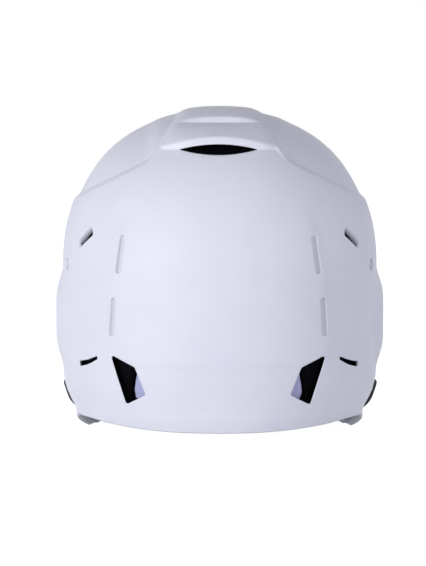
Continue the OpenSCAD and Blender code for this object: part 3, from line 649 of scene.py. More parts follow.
moulded_grain = effect("moulded_grain", {"Pebbles": 1400.0, "Clouds": 28.0}, grain)
shell_white = patterned(
    "satin_white_shell", moulded_grain, "Handling", [(0.79, 0.805, 0.855), (0.765, 0.785, 0.85)],
    depth=0.00002, rough=(0.52, 0.6), sizes={"Pebbles": 2200, "Clouds": 22}, specular_ior_level=0.4)
# The recesses keep the coarser, rougher texture of the mould's inserts; their darker colour is painted
# shade, standing in for the shadow that falls in them
shaded_recess_white = patterned(
    "painted_shade_white_recess", moulded_grain, "Handling", [(0.71, 0.72, 0.765), (0.685, 0.7, 0.75)],
    depth=0.00008, rough=(0.7, 0.8), sizes={"Pebbles": 1300, "Clouds": 40}, specular_ior_level=0.3)


def mesh_piece(name, points, faces, slot_name, finish):
    """A piece from points in millimetres, which rides on the helmet."""
    mesh = bpy.data.meshes.new(name)
    mesh.from_pydata([tuple(p * MM) for p in np.asarray(points, float)], [], faces)
    mesh.polygons.foreach_set("use_smooth", [True] * len(mesh.polygons))
    mesh.update()
    piece = bpy.data.objects.new(name, mesh)
    bpy.context.scene.collection.objects.link(piece)
    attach(piece, "root")
    mesh.materials.append(finish)
    return piece


# The rim is rounded over from the outer face to the hollow one
rim_lip, rim_steps = 1.2, 8
count = len(outer.points)
points = np.array(outer.points + hollow.points)
faces = [list(f) for f in outer.cells] + outer.others
faces += [[count + i for i in f] for f in list(hollow.cells) + hollow.others]
for ring, place, back_loop, back_place in joined:
    zipper(faces, ring, place, [count + i for i in back_loop], back_place)
edge = outer.rim
edge_points, edge_normals = np.array(outer.points)[edge], np.array(outer.normals)[edge]
fall = unit(edge_points - np.array(outer.points)[np.array(edge) - len(edge)])
points[edge] = edge_points - rim_lip * fall
ring, added = edge, []
for k in range(1, rim_steps + 1):
    turn = math.pi * k / rim_steps
    across = wall / 2 * (1 - math.cos(turn)) * edge_normals
    first = len(points) + sum(len(a) for a in added)
    added.append(edge_points - rim_lip * (1 - math.sin(turn)) * fall - across)
    step = list(range(first, first + len(edge)))
    faces += [[a, d, c, b] for a, b, c, d in zip(ring, ring[1:] + ring[:1], step[1:] + step[:1], step)]
    ring = step
points = np.concatenate([points, *added])
inner_rim = [count + i for i in hollow.rim]


def turns(stations):
    """How far round the rim each column is, in turns."""
    half = len(stations) // 2 + 1
    return np.concatenate([stations[:half] / LAST / 2, 1 - stations[half:] / LAST / 2])


strip = []
zipper(strip, ring, turns(outer_s), inner_rim, turns(inner_s))
faces += [f[::-1] for f in strip]
faces = [f[::-1] for f in faces]
used = np.unique(np.concatenate([np.ravel(f) for f in faces]))
fresh = np.full(len(points), -1)
fresh[used] = np.arange(len(used))
shell_faces = [fresh[f].tolist() for f in faces]
shell = mesh_piece("helmet_shell", points[used], shell_faces, "shell_plastic", shell_white)
# The faces of the pressed recesses take the white darkened as painted shade
shell.data.materials.append(shaded_recess_white)
for k in outer.pressed:
    shell.data.polygons[len(outer.cells) + k].material_index = 1
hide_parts("shell")


# The pads are cut from closed-cell foam, pressed to a crowned face with a rounded edge, and
# stand a hook-and-loop disc's thickness inside the shell. Black ones fill the crown, brow,
# sides and back; the tall one behind the back panel is a lighter, greyer foam.
pad_gap, end_pad_t, side_pad_t, flap_pad_t = 2.4, 17, 21, 15
pad_edge, pad_corner, pad_round = 0.45, 8, 2.6
press_in, press_d, press_w = 7, 0.7, 1.6


def under(a, z, d):
    """A point at heading a and height z, at depth d below the outer form."""
    a, z, d = np.broadcast_arrays(np.asarray(a, float), np.asarray(z, float), d)
    q = profile(z)
    return skin(a, q) - d[..., None] * skin_normal(a, q)


def crown_skin(x, y):
    """The smooth outer form over a place near the crown."""
    across, along = np.abs(x) / (belt_w / 2), np.abs(y) / np.where(y > 0, back_l, front_l)
    r = np.minimum((across ** plan_n + along ** plan_n) ** (1 / plan_n), 1)
    return np.stack([x, dome_y + y, belt_z + dome_h * (1 - r ** dome_n) ** (1 / dome_n)], -1)


def under_crown(x, y, d):
    """A point at depth d below the crown."""
    x, y, d = np.broadcast_arrays(np.asarray(x, float), np.asarray(y, float), d)
    return crown_skin(x, y) - d[..., None] * normal_of(crown_skin, x, y, 1, 1)


def crowned(u, v, edge):
    """How full a pad is at u, v: 1 in the middle, edge at its rim."""
    return edge + (1 - edge) * (1 - u ** 4) * (1 - v ** 4)


def stacked(rings, n):
    """The faces of a stack of rings of n points each, whose two end points come last."""
    faces = [[j * n + k, j * n + (k + 1) % n, (j + 1) * n + (k + 1) % n, (j + 1) * n + k]
             for j in range(rings - 1) for k in range(n)]
    last = rings * n
    faces += [[last, (k + 1) % n, k] for k in range(n)]
    faces += [[last + 1, last - n + k, last - n + (k + 1) % n] for k in range(n)]
    return faces


BACK_RINGS = (0.2, 0.45, 0.7, 0.86, 0.94)
FACE_RINGS = (0.95, 0.91, 0.87, 0.83, 0.79, 0.7, 0.6, 0.48, 0.34, 0.18)
ROUND_TURNS = np.radians([0, 22, 45, 68, 90])


def pressed(place, back, face, r, corner, around=112, face_rings=FACE_RINGS):
    """Points and faces of a slab with rounded corners and edges. place gives a point by u, v
    from -1 to 1 and its depth; back and face give the depth of its two faces."""
    middle = back(np.array(0.0), np.array(0.0))

    def half(start, end):
        start, end = (place(*map(np.array, p), middle) for p in (start, end))
        return np.linalg.norm(start - end) / 2
    size = np.array([half((-1.0, 0.0), (1.0, 0.0)), half((0.0, -1.0), (0.0, 1.0))])
    turn = np.linspace(0, 2 * np.pi, around, endpoint=False) + 0.01
    c, s = np.cos(turn), np.sin(turn)
    square = np.stack([c, s], -1) / np.maximum(np.abs(c), np.abs(s))[:, None]
    over = np.abs(square) * size - (size - corner)
    bent = size - corner + corner * unit(np.maximum(over, 1e-6))
    edge = np.where((over > 0).all(-1)[:, None], np.sign(square) * bent / size, square)
    rings = [(f, 0, 0) for f in BACK_RINGS]
    rings += [(1, (1 - math.sin(k)) * r, (1 - math.cos(k)) * r) for k in ROUND_TURNS]
    rings += [(1, (1 - math.cos(k)) * r, -(1 - math.sin(k)) * r) for k in ROUND_TURNS]
    rings += [(f, 0, -1e-9) for f in face_rings]
    points = []
    for f, inset, rise in rings:
        uv = edge * f * (1 - inset / size)
        u, v = uv[:, 0], uv[:, 1]
        sign = np.sign(face(u, v) - back(u, v))
        depth = back(u, v) + sign * rise if rise >= 0 else face(u, v) + sign * rise
        points.append(place(u, v, depth))
    zero = np.zeros(1)
    points.append(place(zero, zero, back(zero, zero)))
    points.append(place(zero, zero, face(zero, zero)))
    return np.concatenate(points), stacked(len(rings), around)


def outward(points, faces):
    """Turns all faces of a closed form outwards."""
    points = np.asarray(points, float)
    total = sum(float(np.dot(points[f[0]], np.cross(points[f[k]], points[f[k + 1]])))
                for f in faces for k in range(1, len(f) - 1))
    return faces if total > 0 else [f[::-1] for f in faces]


def flipped(points):
    """The points mirrored to the other side of the helmet."""
    return np.asarray(points) * [-1, 1, 1]


def both_sides(name, points, faces, slot_name, finish):
    """A left piece and its mirrored right one."""
    pair = []
    for side, at in (("left", points), ("right", flipped(points))):
        piece = mesh_piece(f"{name}_{side}_fitted", at, outward(at, faces), slot_name, finish)
        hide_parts(f"{name}_{side}")
        pair.append(piece)
    return pair


def pad_back(u, v):
    """The depth of a pad's back, which its discs hold off the shell."""
    return wall + pad_gap + 0 * u


def foam_face(t, size):
    """The depth of a pad's face: crowned, with a line pressed in beside its edge."""
    def depth(u, v):
        beside = np.minimum((1 - np.abs(u)) * size[0], (1 - np.abs(v)) * size[1])
        line = press_d * np.exp(-((beside - press_in) / press_w) ** 2)
        return pad_back(u, v) + t * crowned(u, v, pad_edge) - line
    return depth


# The seams beside the back pad lean outwards below, between two heights
seam_lean, SEAM_Z = 2.4, (34, 66)


def shell_pad(a, z, t, lean=(0, 0), corner=pad_corner):
    """A pad between two headings and two heights; lean tells which sides follow a seam."""
    size = (np.radians(a[1] - a[0]) * belt_w / 4, (z[1] - z[0]) / 2)

    def place(u, v, d):
        h = mix(*z, (v + 1) / 2)
        away = seam_lean * ramp(SEAM_Z[1], SEAM_Z[0], h) * mix(*lean, (u + 1) / 2)
        return under(mix(*a, (u + 1) / 2) + away, h, d)
    return pressed(place, pad_back, foam_face(t, size), pad_round, corner)


def cut_foam(tree, place, sizes):
    """Closed-cell foam: cut cells, and the soft mottling of a skived sheet."""
    cells = node(tree, "TexVoronoi", {"Randomness": 1.0}, {"Vector": place, "Scale": sizes["Cells"]},
                 feature="SMOOTH_F1")
    fuzz = noise(tree, place, sizes["Cells"], Detail=3.0, Roughness=0.7)
    both = node(tree, "Math", {}, {0: cells.outputs["Distance"], 1: fuzz}, operation="ADD")
    mottling = noise(tree, place, sizes["Mottling"], Detail=6.0, Roughness=0.7)
    spread = node(tree, "MapRange", {"From Min": 0.3, "From Max": 0.72}, {"Value": mottling})
    return {"Height": both.outputs["Value"], "Mottling": spread.outputs["Result"]}


foam_cells = effect("foam_cells", {"Cells": 1500.0, "Mottling": 90.0}, cut_foam)
FOAMS = {}
for slot_name, colours, depth in [
        ("black_foam", [(0.0012, 0.0012, 0.0018), (0.003, 0.003, 0.0042)], 0.00012),
        ("grey_foam", [(0.46, 0.48, 0.70), (0.52, 0.54, 0.76)], 0.00008)]:
    FOAMS[slot_name] = patterned(slot_name + "_sheet", foam_cells, "Mottling", colours, depth,
                                 rough=(0.86, 0.96), specular_ior_level=0.06)
crown_pad_size, crown_pad_corner, seam_corner = (52, 60), 14, 4
front_a, front_z = (144, 216), (belt_z + 22, belt_z + 60)


def crown_place(u, v, d):
    return under_crown(-crown_pad_size[0] * u, crown_pad_size[1] * v, d)


middle_pads = {
    "crown_pad": pressed(crown_place, pad_back, foam_face(side_pad_t, crown_pad_size),
                         pad_round, crown_pad_corner),
    "front_pad": shell_pad(front_a, front_z, end_pad_t),
    "upper_back_pad": shell_pad((-30, 30), (belt_z + 42, belt_z + 91), end_pad_t),
    "back_pad": shell_pad((-28.8, 28.8), (33.5, belt_z + 36), end_pad_t, (-1, 1), seam_corner),
    "nape_pad": shell_pad((-29.5, 29.5), (back_rim_z + 3, 32.5), end_pad_t, corner=seam_corner)}
pads = []
for name, (points, faces) in middle_pads.items():
    slot_name = "grey_foam" if name == "back_pad" else "black_foam"
    faces = outward(points, faces)
    pads.append(mesh_piece(name + "_fitted", points, faces, slot_name, FOAMS[slot_name]))
    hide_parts(name)
for name, a, z, t, lean in [
        ("side_pad", (76, 132), (belt_z + 8, belt_z + 64), side_pad_t, (0, 0)),
        ("occiput_pad", (36, 71), (belt_z - 9, belt_z + 64), end_pad_t, (0, 0)),
        ("rear_side_pad", (29.7, 66), (back_rim_z + 5, belt_z - 14), end_pad_t, (1, 0)),
        ("jaw_pad", (93, 114), (2.5, 35), 0.8 * flap_pad_t, (0, 0))]:
    pads += both_sides(name, *shell_pad(a, z, t, lean), "black_foam", FOAMS["black_foam"])

# Each ear pad is a soft ring of the same black foam round the ear hole, thickest at its crest
# and held to the flap by its own disc.
ear_pad_r, ear_pad_hole, ear_sides, ear_ring = 42, 0.5, 96, 40


def heading(y, z):
    """The heading at which the side wall passes y, counted from the dome's middle."""
    return np.degrees(np.arccos(spow(y / reach(z, y > 0), plan_n / 2)))


# The ring's section, by the share of its radius and of its thickness
section = np.array([[1, 0], [1.0, 0.45], [0.93, 0.8], [0.76, 1], [0.6, 0.8], [ear_pad_hole, 0.4],
                    [ear_pad_hole, 0], [0.75, 0]])
closed = np.concatenate([section[-2:], section, section[:2]])
ring = curve(closed, 1 + np.linspace(1, 1 + len(section), ear_ring, endpoint=False))
ring = np.stack([np.clip(ring[:, 0], ear_pad_hole, 1), np.clip(ring[:, 1], 0, 1)], -1)
turn = np.linspace(0, 2 * np.pi, ear_sides, endpoint=False)[:, None]
y = ear_y + ring[:, 0] * ear_pad_r * np.cos(turn)
z = ear_z + ring[:, 0] * ear_pad_r * np.sin(turn)
points = under(heading(y, z), z, wall + pad_gap + flap_pad_t * ring[:, 1] + 0 * z).reshape(-1, 3)


def at(k, i):
    return (k % ear_sides) * ear_ring + i % ear_ring


faces = [[at(k, i), at(k + 1, i), at(k + 1, i + 1), at(k, i + 1)]
         for k in range(ear_sides) for i in range(ear_ring)]
pads += both_sides("ear_pad", points, faces, "black_foam", FOAMS["black_foam"])

# The brow band is a strip of absorbent cloth with a folded hem, sewn on over the front pad,
# and lies a soft gap off the foam.
band_t, band_share, soft_gap, hem_w, hem_t = 2.5, (0.86, 0.8), 0.7, 4, 0.5
band_round, band_corner = 1, 5
band_size = (np.radians(front_a[1] - front_a[0]) * belt_w / 4 * band_share[0],
             (front_z[1] - front_z[0]) / 2 * band_share[1])


def band_place(u, v, d):
    a = mix(*front_a, (band_share[0] * u + 1) / 2)
    return under(a, mix(*front_z, (band_share[1] * v + 1) / 2), d)


def band_back(u, v):
    full = crowned(band_share[0] * u, band_share[1] * v, pad_edge)
    return wall + pad_gap + soft_gap + end_pad_t * full


def band_face(u, v):
    beside = np.minimum((1 - np.abs(u)) * band_size[0], (1 - np.abs(v)) * band_size[1])
    return band_back(u, v) + band_t - hem_t * ramp(hem_w - 1, hem_w + 0.6, beside)


def weave(tree, place, sizes):
    """A plain weave: two sets of threads that pass over and under each other, with lint."""
    scale = node(tree, "VectorMath", {}, {0: place, "Scale": sizes["Threads"]}, operation="SCALE")
    warp, weft = (node(tree, "TexWave", {"Scale": 1.0, "Distortion": 0.4},
                       {"Vector": scale.outputs["Vector"]}, bands_direction=way) for way in "XZ")
    top = node(tree, "Math", {}, {0: warp.outputs["Fac"], 1: weft.outputs["Fac"]}, operation="MAXIMUM")
    lint = node(tree, "TexNoise", {"Scale": 700.0, "Detail": 4.0, "Roughness": 0.75}, {"Vector": place})
    return {"Height": top.outputs["Value"], "Lint": lint.outputs["Fac"]}


plain_weave = effect("plain_weave", {"Threads": 1100.0}, weave)
band_cloth = patterned(
    "towelling_band", plain_weave, "Lint", [(0.010, 0.010, 0.012), (0.030, 0.030, 0.034)],
    depth=0.0002, roughness=0.95, specular_ior_level=0.2, sheen_weight=0.1)
points, faces = pressed(band_place, band_back, band_face, band_round, band_corner, 160)
brow_band = mesh_piece("brow_band_sewn", points, outward(points, faces), "band_fabric", band_cloth)
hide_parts("brow_band")

# The hook-and-loop discs are glued to the shell and the pads; each is a woven disc with a
# fuzz of loops.
loops = patterned(
    "hook_and_loop_discs", plain_weave, "Lint", [(0.010, 0.010, 0.011), (0.045, 0.045, 0.05)],
    depth=0.0003, sizes={"Threads": 1800}, roughness=0.97, specular_ior_level=0.2, sheen_weight=0.15)


def dress(name, finish):
    """Gives a piece of the frame its finish."""
    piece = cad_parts[name]
    piece.data.materials.clear()
    piece.data.materials.append(finish)


dress("pad_fasteners", loops)

# The face guard is bent and welded from round steel wire, then dipped in soft black vinyl,
# which rounds off the welds and the ends. It stands free of the face and grips the shell
# only at its six clips.
wire_d, guard_l = 5, 152
eye_wire_z, mouth_wire_z, jaw_arm_z, temple_arm_z = 54, 28, 28, 88
wire_off, fit_gap = wire_d / 2 + 0.35, 0.2
edge_a, bar_a, side_a, wire_front_a, FRONT_A = temple_a - 2.5, 163, 121, 150, (118, 160)
jaw_arm_a, temple_arm_a, EDGE_WIRE_Z = 100, 111, (jaw_arm_z, 44, 58, 72, 86)
wire_sides, wire_step, weld_r, weld_l, floor_gap = 16, 1.6, 1.3, 0.36 * wire_d, 0.2
END_TURNS = np.radians([25, 50, 75])


def cage(a, z):
    """The guard's form, which leaves the shell's side and rounds the face."""
    p, k = skin(a, profile(z)), ramp(*FRONT_A, a)
    y = mix(p[..., 1], dome_y - guard_l * np.maximum(-np.cos(np.radians(a)), 0) ** (2 / plan_n), k)
    return np.stack([p[..., 0], y, z + 0 * y], -1)


def sheet_normal(s, t):
    return normal_of(sheet, np.asarray(s, float), np.asarray(t, float), 0.05, 0.002)


def whole(half):
    """A path with its mirrored half."""
    return np.concatenate([half, flipped(half)[-2::-1]])


def tube(path, r, sides=wire_sides, step=wire_step):
    """A wire along a path, with even rings that don't twist and rounded ends."""
    run = np.concatenate([[0], np.cumsum(np.linalg.norm(np.diff(path, axis=0), axis=1))])
    where = np.linspace(0, run[-1], max(2, int(run[-1] / step) + 1))
    path = np.stack([np.interp(where, run, path[:, k]) for k in range(3)], -1)
    for _ in range(3):
        path[1:-1] = (path[:-2] + 2 * path[1:-1] + path[2:]) / 4
    ahead = unit(np.gradient(path, axis=0))
    side = unit(np.cross(ahead[0], [0.1, 0.2, 1]))
    rings = []
    turn = np.linspace(0, 2 * np.pi, sides, endpoint=False)[:, None]
    for i, (p, d) in enumerate(zip(path, ahead)):
        side = unit(side - (side @ d) * d)
        up = np.cross(d, side)
        around = np.cos(turn) * side + np.sin(turn) * up
        ends = []
        if i in (0, len(path) - 1):
            way = -1 if i == 0 else 1
            ends = [(math.cos(k), math.sin(k) * way) for k in END_TURNS]
        rounds = [p + r * c * around + r * s * d for c, s in ends]
        rings += (rounds[::-1] if i == 0 else []) + [p + r * around] + ([] if i == 0 else rounds)
    points = np.concatenate(rings + [[path[0] - r * ahead[0]], [path[-1] + r * ahead[-1]]])
    return points, outward(points, stacked(len(rings), sides))


def together(forms):
    """Several closed forms as the points and faces of one piece."""
    points, faces = [], []
    for p, f in forms:
        count = sum(len(q) for q in points)
        points.append(np.asarray(p, float))
        faces += [[count + i for i in face] for face in f]
    return np.concatenate(points), faces


def drawn(wire, a):
    """A wire's height, which passes from the side's to the front's."""
    return mix(*wire, ramp(side_a, wire_front_a, a))


def arm(a, z, end=side_a):
    """The end of a wire that lies along the shell, from heading a."""
    return under(np.arange(a, end + 0.1, 1.5), z, -wire_off)


# The height of each wire at the side and at the front
CHIN = (jaw_arm_z, wire_d / 2 + floor_gap)
MOUTH = (jaw_arm_z + 15, mouth_wire_z)
EYE = (eye_wire_z + 9, eye_wire_z)
cage_a = np.linspace(edge_a, 180, 60)
chin_path = whole(np.concatenate([arm(jaw_arm_a, jaw_arm_z), cage(cage_a, drawn(CHIN, cage_a))]))
mouth_path = whole(cage(cage_a, drawn(MOUTH, cage_a)))
eye_path = whole(cage(cage_a, drawn(EYE, cage_a)))
temple_path = arm(temple_arm_a, temple_arm_z, edge_a + 1)
under_bill_t, brow_wire_off = mix(bill_t, 1, 0.62), wall + wire_off + 1
# The brow wire rises along the flap's front edge and runs under the bill to the middle
brow_stations = np.array([13.4, 14, 14.7, 15.3, 16])
brow_posts = np.concatenate([
    under(edge_a + 0.5, np.array(EDGE_WIRE_Z), wall / 2),
    under(edge_a + 4, np.array([belt_z - 22.0]), wall),
    sheet(np.minimum(brow_stations, LAST), under_bill_t)
    - brow_wire_off * sheet_normal(brow_stations - 0.05, under_bill_t + 0 * brow_stations)])
brow_half = curve(brow_posts, np.linspace(0, len(brow_posts) - 1, 80))
brow_half[-1, 0] = 0
brow_path = whole(brow_half)
bar_path = cage(np.full(20, bar_a), np.linspace(drawn(CHIN, bar_a), drawn(EYE, bar_a), 20))
forms = [tube(path, wire_d / 2) for path in (chin_path, mouth_path, eye_path, brow_path)]
welds = [cage(np.array(a), drawn(wire, a)) for a in (bar_a, edge_a) for wire in (CHIN, MOUTH, EYE)]
welds.append(temple_path[-1])
for mirror in (np.array([1, 1, 1]), np.array([-1, 1, 1])):
    forms += [tube(temple_path * mirror, wire_d / 2), tube(bar_path * mirror, wire_d / 2)]
    for w in welds:
        middle = np.array([w[0], w[1], max(w[2], wire_d / 2 * weld_r + weld_l + floor_gap)])
        blob = np.linspace(-1, 1, 7)[:, None] * [0, 0, weld_l] + middle * mirror
        forms.append(tube(blob, wire_d / 2 * weld_r, wire_sides, 1))
points, faces = together(forms)
vinyl = patterned(
    "black_vinyl_dip", moulded_grain, "Handling", [(0.011, 0.011, 0.012), (0.018, 0.018, 0.02)],
    depth=0.00006, rough=(0.3, 0.45), sizes={"Pebbles": 900, "Clouds": 60},
    coat_weight=0.1, coat_roughness=0.25)
guard = mesh_piece("face_guard_dipped", points, faces, "coated_wire", vinyl)
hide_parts("face_guard")

# The clips are moulded from black nylon. The side clips are arches over the wire, with a
# pocket for the screw's head; the brow clips are blocks under the bill that the wire runs in.
clip_wall, clip_foot, clip_below, clip_above, screw_below = 1.5, 2.4, 16, 8, 10
jaw_clip_a, temple_clip_a = (99, 109), (108.5, 118)
arch_t, arch_edge, pocket_r = wire_d + 2 * clip_wall, 0.25, 4.5
arch_fall_below, arch_fall_above, clip_round, clip_corner = 2, 12, 0.8, 3.2
CLIP_RINGS = np.linspace(0.98, 0.04, 40)


def side_clip(a, z):
    """A clip between two headings, whose wire lies at height z."""
    size = (np.radians(a[1] - a[0]) * belt_w / 4, (clip_below + clip_above) / 2)

    def above_wire(v):
        return mix(-clip_below, clip_above, (v + 1) / 2)

    def place(u, v, d):
        return under(mix(*a, (u + 1) / 2), z + above_wire(v), d)

    def face(u, v):
        fall = np.where(v > 0, arch_fall_above, arch_fall_below)
        arch = arch_t * mix(arch_edge, 1, (1 - u ** 4) * (1 - np.abs(v) ** fall))
        from_screw = np.hypot(u * size[0], above_wire(v) + screw_below)
        pocket = 1 - ramp(pocket_r - 0.2, pocket_r + 0.2, from_screw)
        return -fit_gap - mix(arch, clip_foot, pocket)

    def back(u, v):
        return -fit_gap + 0 * u
    return pressed(place, back, face, clip_round, clip_corner, 168, CLIP_RINGS)


def seat(points, p, n, along=(0, 0, 1)):
    """Places points of a fitting with their Z along n and their X as near as may be to along."""
    along = np.asarray(along, float)
    x = unit(along - (along @ n) * n)
    return p + np.asarray(points) @ np.stack([x, np.cross(n, x), n])


nylon = patterned(
    "black_nylon", moulded_grain, "Handling", [(0.006, 0.006, 0.007), (0.012, 0.012, 0.013)],
    depth=0.00005, rough=(0.55, 0.7), sizes={"Pebbles": 3200, "Clouds": 90}, specular_ior_level=0.2)
both_sides("jaw_clip", *side_clip(jaw_clip_a, jaw_arm_z), "clip_plastic", nylon)
both_sides("temple_clip", *side_clip(temple_clip_a, temple_arm_z), "clip_plastic", nylon)
brow_s, brow_size, brow_shift, brow_round = 15, (24, 19, wire_d + clip_wall + 0.6), 3, 1.6
brow_off, brow_corner = wall + fit_gap + 0.3, 4.5


def brow_sheet(s):
    return sheet(np.array(s), np.array(under_bill_t))


brow_p, brow_n = brow_sheet(brow_s), sheet_normal(brow_s, under_bill_t)
brow_along = unit(brow_sheet(brow_s + 0.2) - brow_sheet(brow_s - 0.2))


def block_place(u, v, d):
    return np.stack([u * brow_size[0] / 2, v * brow_size[1] / 2 + brow_shift, d], -1)


def block_face(u, v):
    return -brow_size[2] + brow_round * (u ** 4 + v ** 4) / 2


block = pressed(block_place, lambda u, v: 0 * u, block_face, brow_round, brow_corner, 120)
points = seat(block[0], brow_p - brow_off * brow_n, brow_n, brow_along)
both_sides("brow_clip", points, block[1], "clip_plastic", nylon)

# The clips' pan-head screws are blackened steel with a cross recess, driven into plated tee
# nuts whose flanges lie inside the shell.
screw_d, head_d, head_t, head_gap = 4, 8, 2.2, 0.4
recess_w, recess_r, recess_deep = 0.75, 2.3, 1.3
nut_flange_t, nut_gap, brow_head_off, brow_screw_y = 1.2, 0.7, 0.8, 8
thread_pitch, thread_d = 0.7, 0.35


def lathe(profile_points, segments=48):
    """A turned form from radius and height pairs, closed on its axis at both ends."""
    turn = np.linspace(0, 2 * np.pi, segments, endpoint=False)
    rings = [np.stack([r * np.cos(turn), r * np.sin(turn), z + 0 * turn], -1)
             for r, z in profile_points[1:-1]]
    ends = [[[0, 0, z]] for _, z in (profile_points[0], profile_points[-1])]
    points = np.concatenate(rings + ends)
    return points, outward(points, stacked(len(rings), segments))


def screw(length):
    """A pan-head screw whose head rests at z = 0, with its thread below."""
    thread = []
    z = -length + 0.8
    while z < -thread_pitch:
        thread += [(screw_d / 2, z), (screw_d / 2 - thread_d, z + thread_pitch / 2)]
        z += thread_pitch
    head = [(head_d / 2 - 0.3, 0), (head_d / 2, 0.3), (head_d / 2, 0.7), (head_d / 2 - 0.35, 1.3),
            (head_d / 2 - 1, head_t - 0.3), (head_d / 2 - 1.6, head_t)]
    face = [(r, head_t) for r in np.arange(recess_r, 0.1, -0.2)]
    points, faces = lathe([(0, -length), (1.2, -length), (1.6, -length + 0.5)] + thread
                          + [(screw_d / 2, -0.01)] + head + face + [(0, head_t)], 64)
    x, y = np.abs(points[:, 0]), np.abs(points[:, 1])
    near_x, near_y = (1 - ramp(recess_w - 0.15, recess_w + 0.1, along) for along in (x, y))
    within = 1 - ramp(recess_r - 0.5, recess_r, np.hypot(x, y))
    depth = recess_deep * np.maximum(near_x, near_y) * within
    points[:, 2] -= np.where(points[:, 2] > head_t - 0.01, depth, 0)
    return points, faces


def side_screw(a, z):
    b = np.array((a[0] + a[1]) / 2)
    q = profile(np.array(z - screw_below))
    return skin(b, q), skin_normal(b, q)


def mirrored_too(forms):
    """Closed forms with their mirrored ones."""
    return forms + [(flipped(points), [f[::-1] for f in faces]) for points, faces in forms]


def worn_metal(tree, place, sizes):
    """Metal marks: fine scratches one way, and the bloom of handling."""
    thin = node(tree, "VectorMath", {1: (1.0, 1.0, 8.0)}, {0: place}, operation="MULTIPLY")
    lines = noise(tree, thin.outputs["Vector"], sizes["Scratches"], Detail=4.0, Roughness=0.7)
    return {"Height": lines, "Bloom": noise(tree, place, sizes["Bloom"], Detail=3.0, Roughness=0.6)}


metal_marks = effect("metal_marks", {"Scratches": 500.0, "Bloom": 120.0}, worn_metal)
blackened = patterned(
    "blackened_screws", metal_marks, "Bloom", [(0.05, 0.05, 0.055), (0.09, 0.09, 0.095)],
    depth=0.00003, rough=(0.28, 0.5), metallic=1.0)
plated = patterned(
    "plated_steel_parts", metal_marks, "Bloom", [(0.62, 0.62, 0.64), (0.55, 0.55, 0.58)],
    depth=0.00001, rough=(0.14, 0.34), sizes={"Scratches": 900}, metallic=1.0)
forms = []
for a, z in ((jaw_clip_a, jaw_arm_z), (temple_clip_a, temple_arm_z)):
    p, n = side_screw(a, z)
    turned, faces = screw(clip_foot + head_gap + wall + nut_gap + nut_flange_t)
    forms.append((seat(turned, p + (fit_gap + clip_foot + head_gap) * n, n), faces))
turned, faces = screw(brow_off + brow_size[2] + nut_flange_t)
brow_screw = brow_p + brow_screw_y * np.cross(brow_n, brow_along)
forms.append((seat(turned, brow_screw + brow_head_off * brow_n, brow_n), faces))
points, faces = together(mirrored_too(forms))
screws = mesh_piece("clip_screws_driven", points, faces, "blackened_steel", blackened)
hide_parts("clip_screws")
dress("clip_nuts", plated)

# The strap studs are turned from plated steel: a flange, a neck and a rounded head that a
# strap's socket snaps over, riveted through the shell over a washer.
stud_d, stud_l, stud_a, stud_z, stud_flange_t, stud_shank_d = 7, 4, 111, 47, 1, 4
washer_t, washer_gap = 1, 1.3
top = stud_flange_t + stud_l
stud_profile = [
    (0, -wall - washer_gap - 1.5 * washer_t), (1.6, -wall - washer_gap - 1.5 * washer_t),
    (stud_shank_d / 2, -wall - washer_gap - 1.2 * washer_t), (stud_shank_d / 2, 0),
    (stud_d / 2 + 1.7, 0), (stud_d / 2 + 2, 0.25), (stud_d / 2 + 2, stud_flange_t - 0.3),
    (stud_d / 2 + 1.7, stud_flange_t), (stud_d / 2 - 0.1, stud_flange_t + 0.1),
    (stud_d / 2 - 0.5, stud_flange_t + 0.5), (stud_d / 2 - 0.5, stud_flange_t + 1.1),
    (stud_d / 2, stud_flange_t + 1.8), (stud_d / 2, top - 1), (stud_d / 2 - 0.25, top - 0.4),
    (stud_d / 2 - 0.9, top - 0.05), (1.6, top), (1.4, top - 0.25), (0, top - 0.3)]
turned, faces = lathe(stud_profile)
q = profile(np.array(stud_z))
stud_n = skin_normal(np.array(stud_a), q)
left = seat(turned, skin(np.array(stud_a), q) + fit_gap * stud_n, stud_n)
points, faces = together(mirrored_too([(left, faces)]))
studs = mesh_piece("strap_studs_turned", points, faces, "plated_steel", plated)
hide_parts("strap_studs")
dress("stud_backs", plated)

# The studio: a pale floor that keeps the shadow, a white surround for the camera, a soft key
# from the camera's left, a weaker fill, and the camera behind the helmet, a little above it.
floor_half, floor_glow, floor_drop = 6, 0.9, 0.0004
floor_mesh = bpy.data.meshes.new("floor")
corners = [(x * floor_half, y * floor_half, 0) for x, y in ((-1, -1), (1, -1), (1, 1), (-1, 1))]
floor_mesh.from_pydata(corners, [], [(0, 1, 2, 3)])
floor = bpy.data.objects.new("floor", floor_mesh)
floor.location.z = -floor_drop
bpy.context.scene.collection.objects.link(floor)


def seen(tree):
    """1 where the camera sees a surface directly or in a gloss, or else 0."""
    path = node(tree, "LightPath")
    return node(tree, "Math", {}, {0: path.outputs["Is Camera Ray"], 1: path.outputs["Is Glossy Ray"]},
                operation="MAXIMUM").outputs["Value"]


paper, tree, shader = material("pale_paper", roughness=0.85)
place = node(tree, "TexCoord").outputs["Object"]
fibres = node(tree, "TexNoise", {"Scale": 180.0, "Detail": 3.0}, {"Vector": place})
pale = node(tree, "Mix", {"A": (0.80, 0.80, 0.82, 1), "B": (0.78, 0.78, 0.80, 1)},
            {"Factor": fibres.outputs["Fac"]}, data_type="RGBA")
tree.links.new(pale.outputs["Result"], shader.inputs["Base Color"])
shader.inputs["Emission Color"].default_value = (1, 1, 1, 1)
glow = node(tree, "Math", {1: floor_glow}, {0: seen(tree)}, operation="MULTIPLY")
tree.links.new(glow.outputs["Value"], shader.inputs["Emission Strength"])
floor_mesh.materials.append(paper)

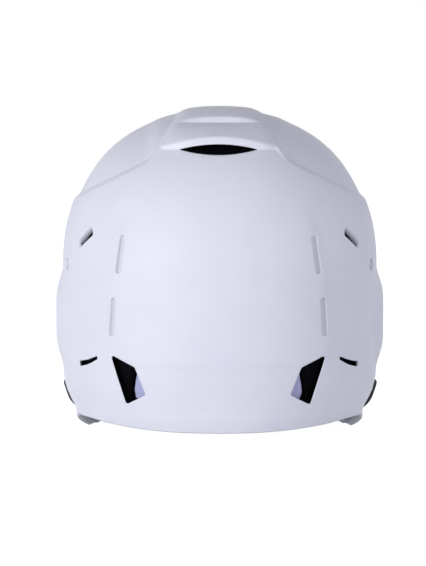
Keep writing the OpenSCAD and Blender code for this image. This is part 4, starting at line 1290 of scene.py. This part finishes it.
world = bpy.data.worlds.new("studio")
bpy.context.scene.world = world
world.use_nodes = True
tree = world.node_tree
direct = seen(tree)
up = node(tree, "SeparateXYZ", {}, {"Vector": node(tree, "TexCoord").outputs["Generated"]})
rise = node(tree, "MapRange", {"From Min": 0.0, "From Max": 0.9, "To Min": 0.85, "To Max": 0.12},
            {"Value": up.outputs["Z"]})
sky = node(tree, "Mix", {"B": 1.0}, {"Factor": direct, "A": rise.outputs["Result"]})
tint = node(tree, "Mix", {"A": (0.83, 0.81, 1.0, 1), "B": (1, 1, 1, 1)}, {"Factor": direct},
            data_type="RGBA")
tree.links.new(tint.outputs["Result"], tree.nodes["Background"].inputs["Color"])
tree.links.new(sky.outputs["Result"], tree.nodes["Background"].inputs["Strength"])

lit_middle = Vector((0, dome_y * MM, 0.11))


def softbox(name, place, size, power, colour):
    """A square soft light that faces the helmet's middle; place is in metres from it."""
    lamp = bpy.data.lights.new(name, "AREA")
    lamp.shape, lamp.size, lamp.energy, lamp.color = "SQUARE", size, power, colour
    held = bpy.data.objects.new(name, lamp)
    bpy.context.scene.collection.objects.link(held)
    held.location = Vector(place) + lit_middle
    held.rotation_mode = "QUATERNION"
    held.rotation_quaternion = Vector([-c for c in place]).to_track_quat("-Z", "Y")


softbox("key", (1.55, 1.6, 0.1), 1.6, 43.5, (0.99, 1.0, 1.0))
softbox("fill", (-1.4, 1.5, 0.0), 1.4, 14, (0.97, 0.99, 1.0))

cam = bpy.data.cameras.new("camera")
eye = bpy.data.objects.new("camera", cam)
bpy.context.scene.collection.objects.link(eye)
aim_x, aim_z, distance, lens_mm, sensor_mm = 4.84, 105.8, 1500, 134.05, 36
elevation, yaw = math.radians(5), math.radians(0.8)
aim = np.array([aim_x, dome_y, aim_z])
level = math.cos(elevation)
away = np.array([-math.sin(yaw) * level, math.cos(yaw) * level, math.sin(elevation)])
eye.location = tuple((aim + distance * away) * MM)
eye.rotation_mode = "QUATERNION"
eye.rotation_quaternion = Vector(-away).to_track_quat("-Z", "Y")
cam.sensor_fit, cam.sensor_height, cam.lens = "VERTICAL", sensor_mm, lens_mm
bpy.context.scene.camera = eye
bpy.context.scene.view_settings.view_transform = "Standard"
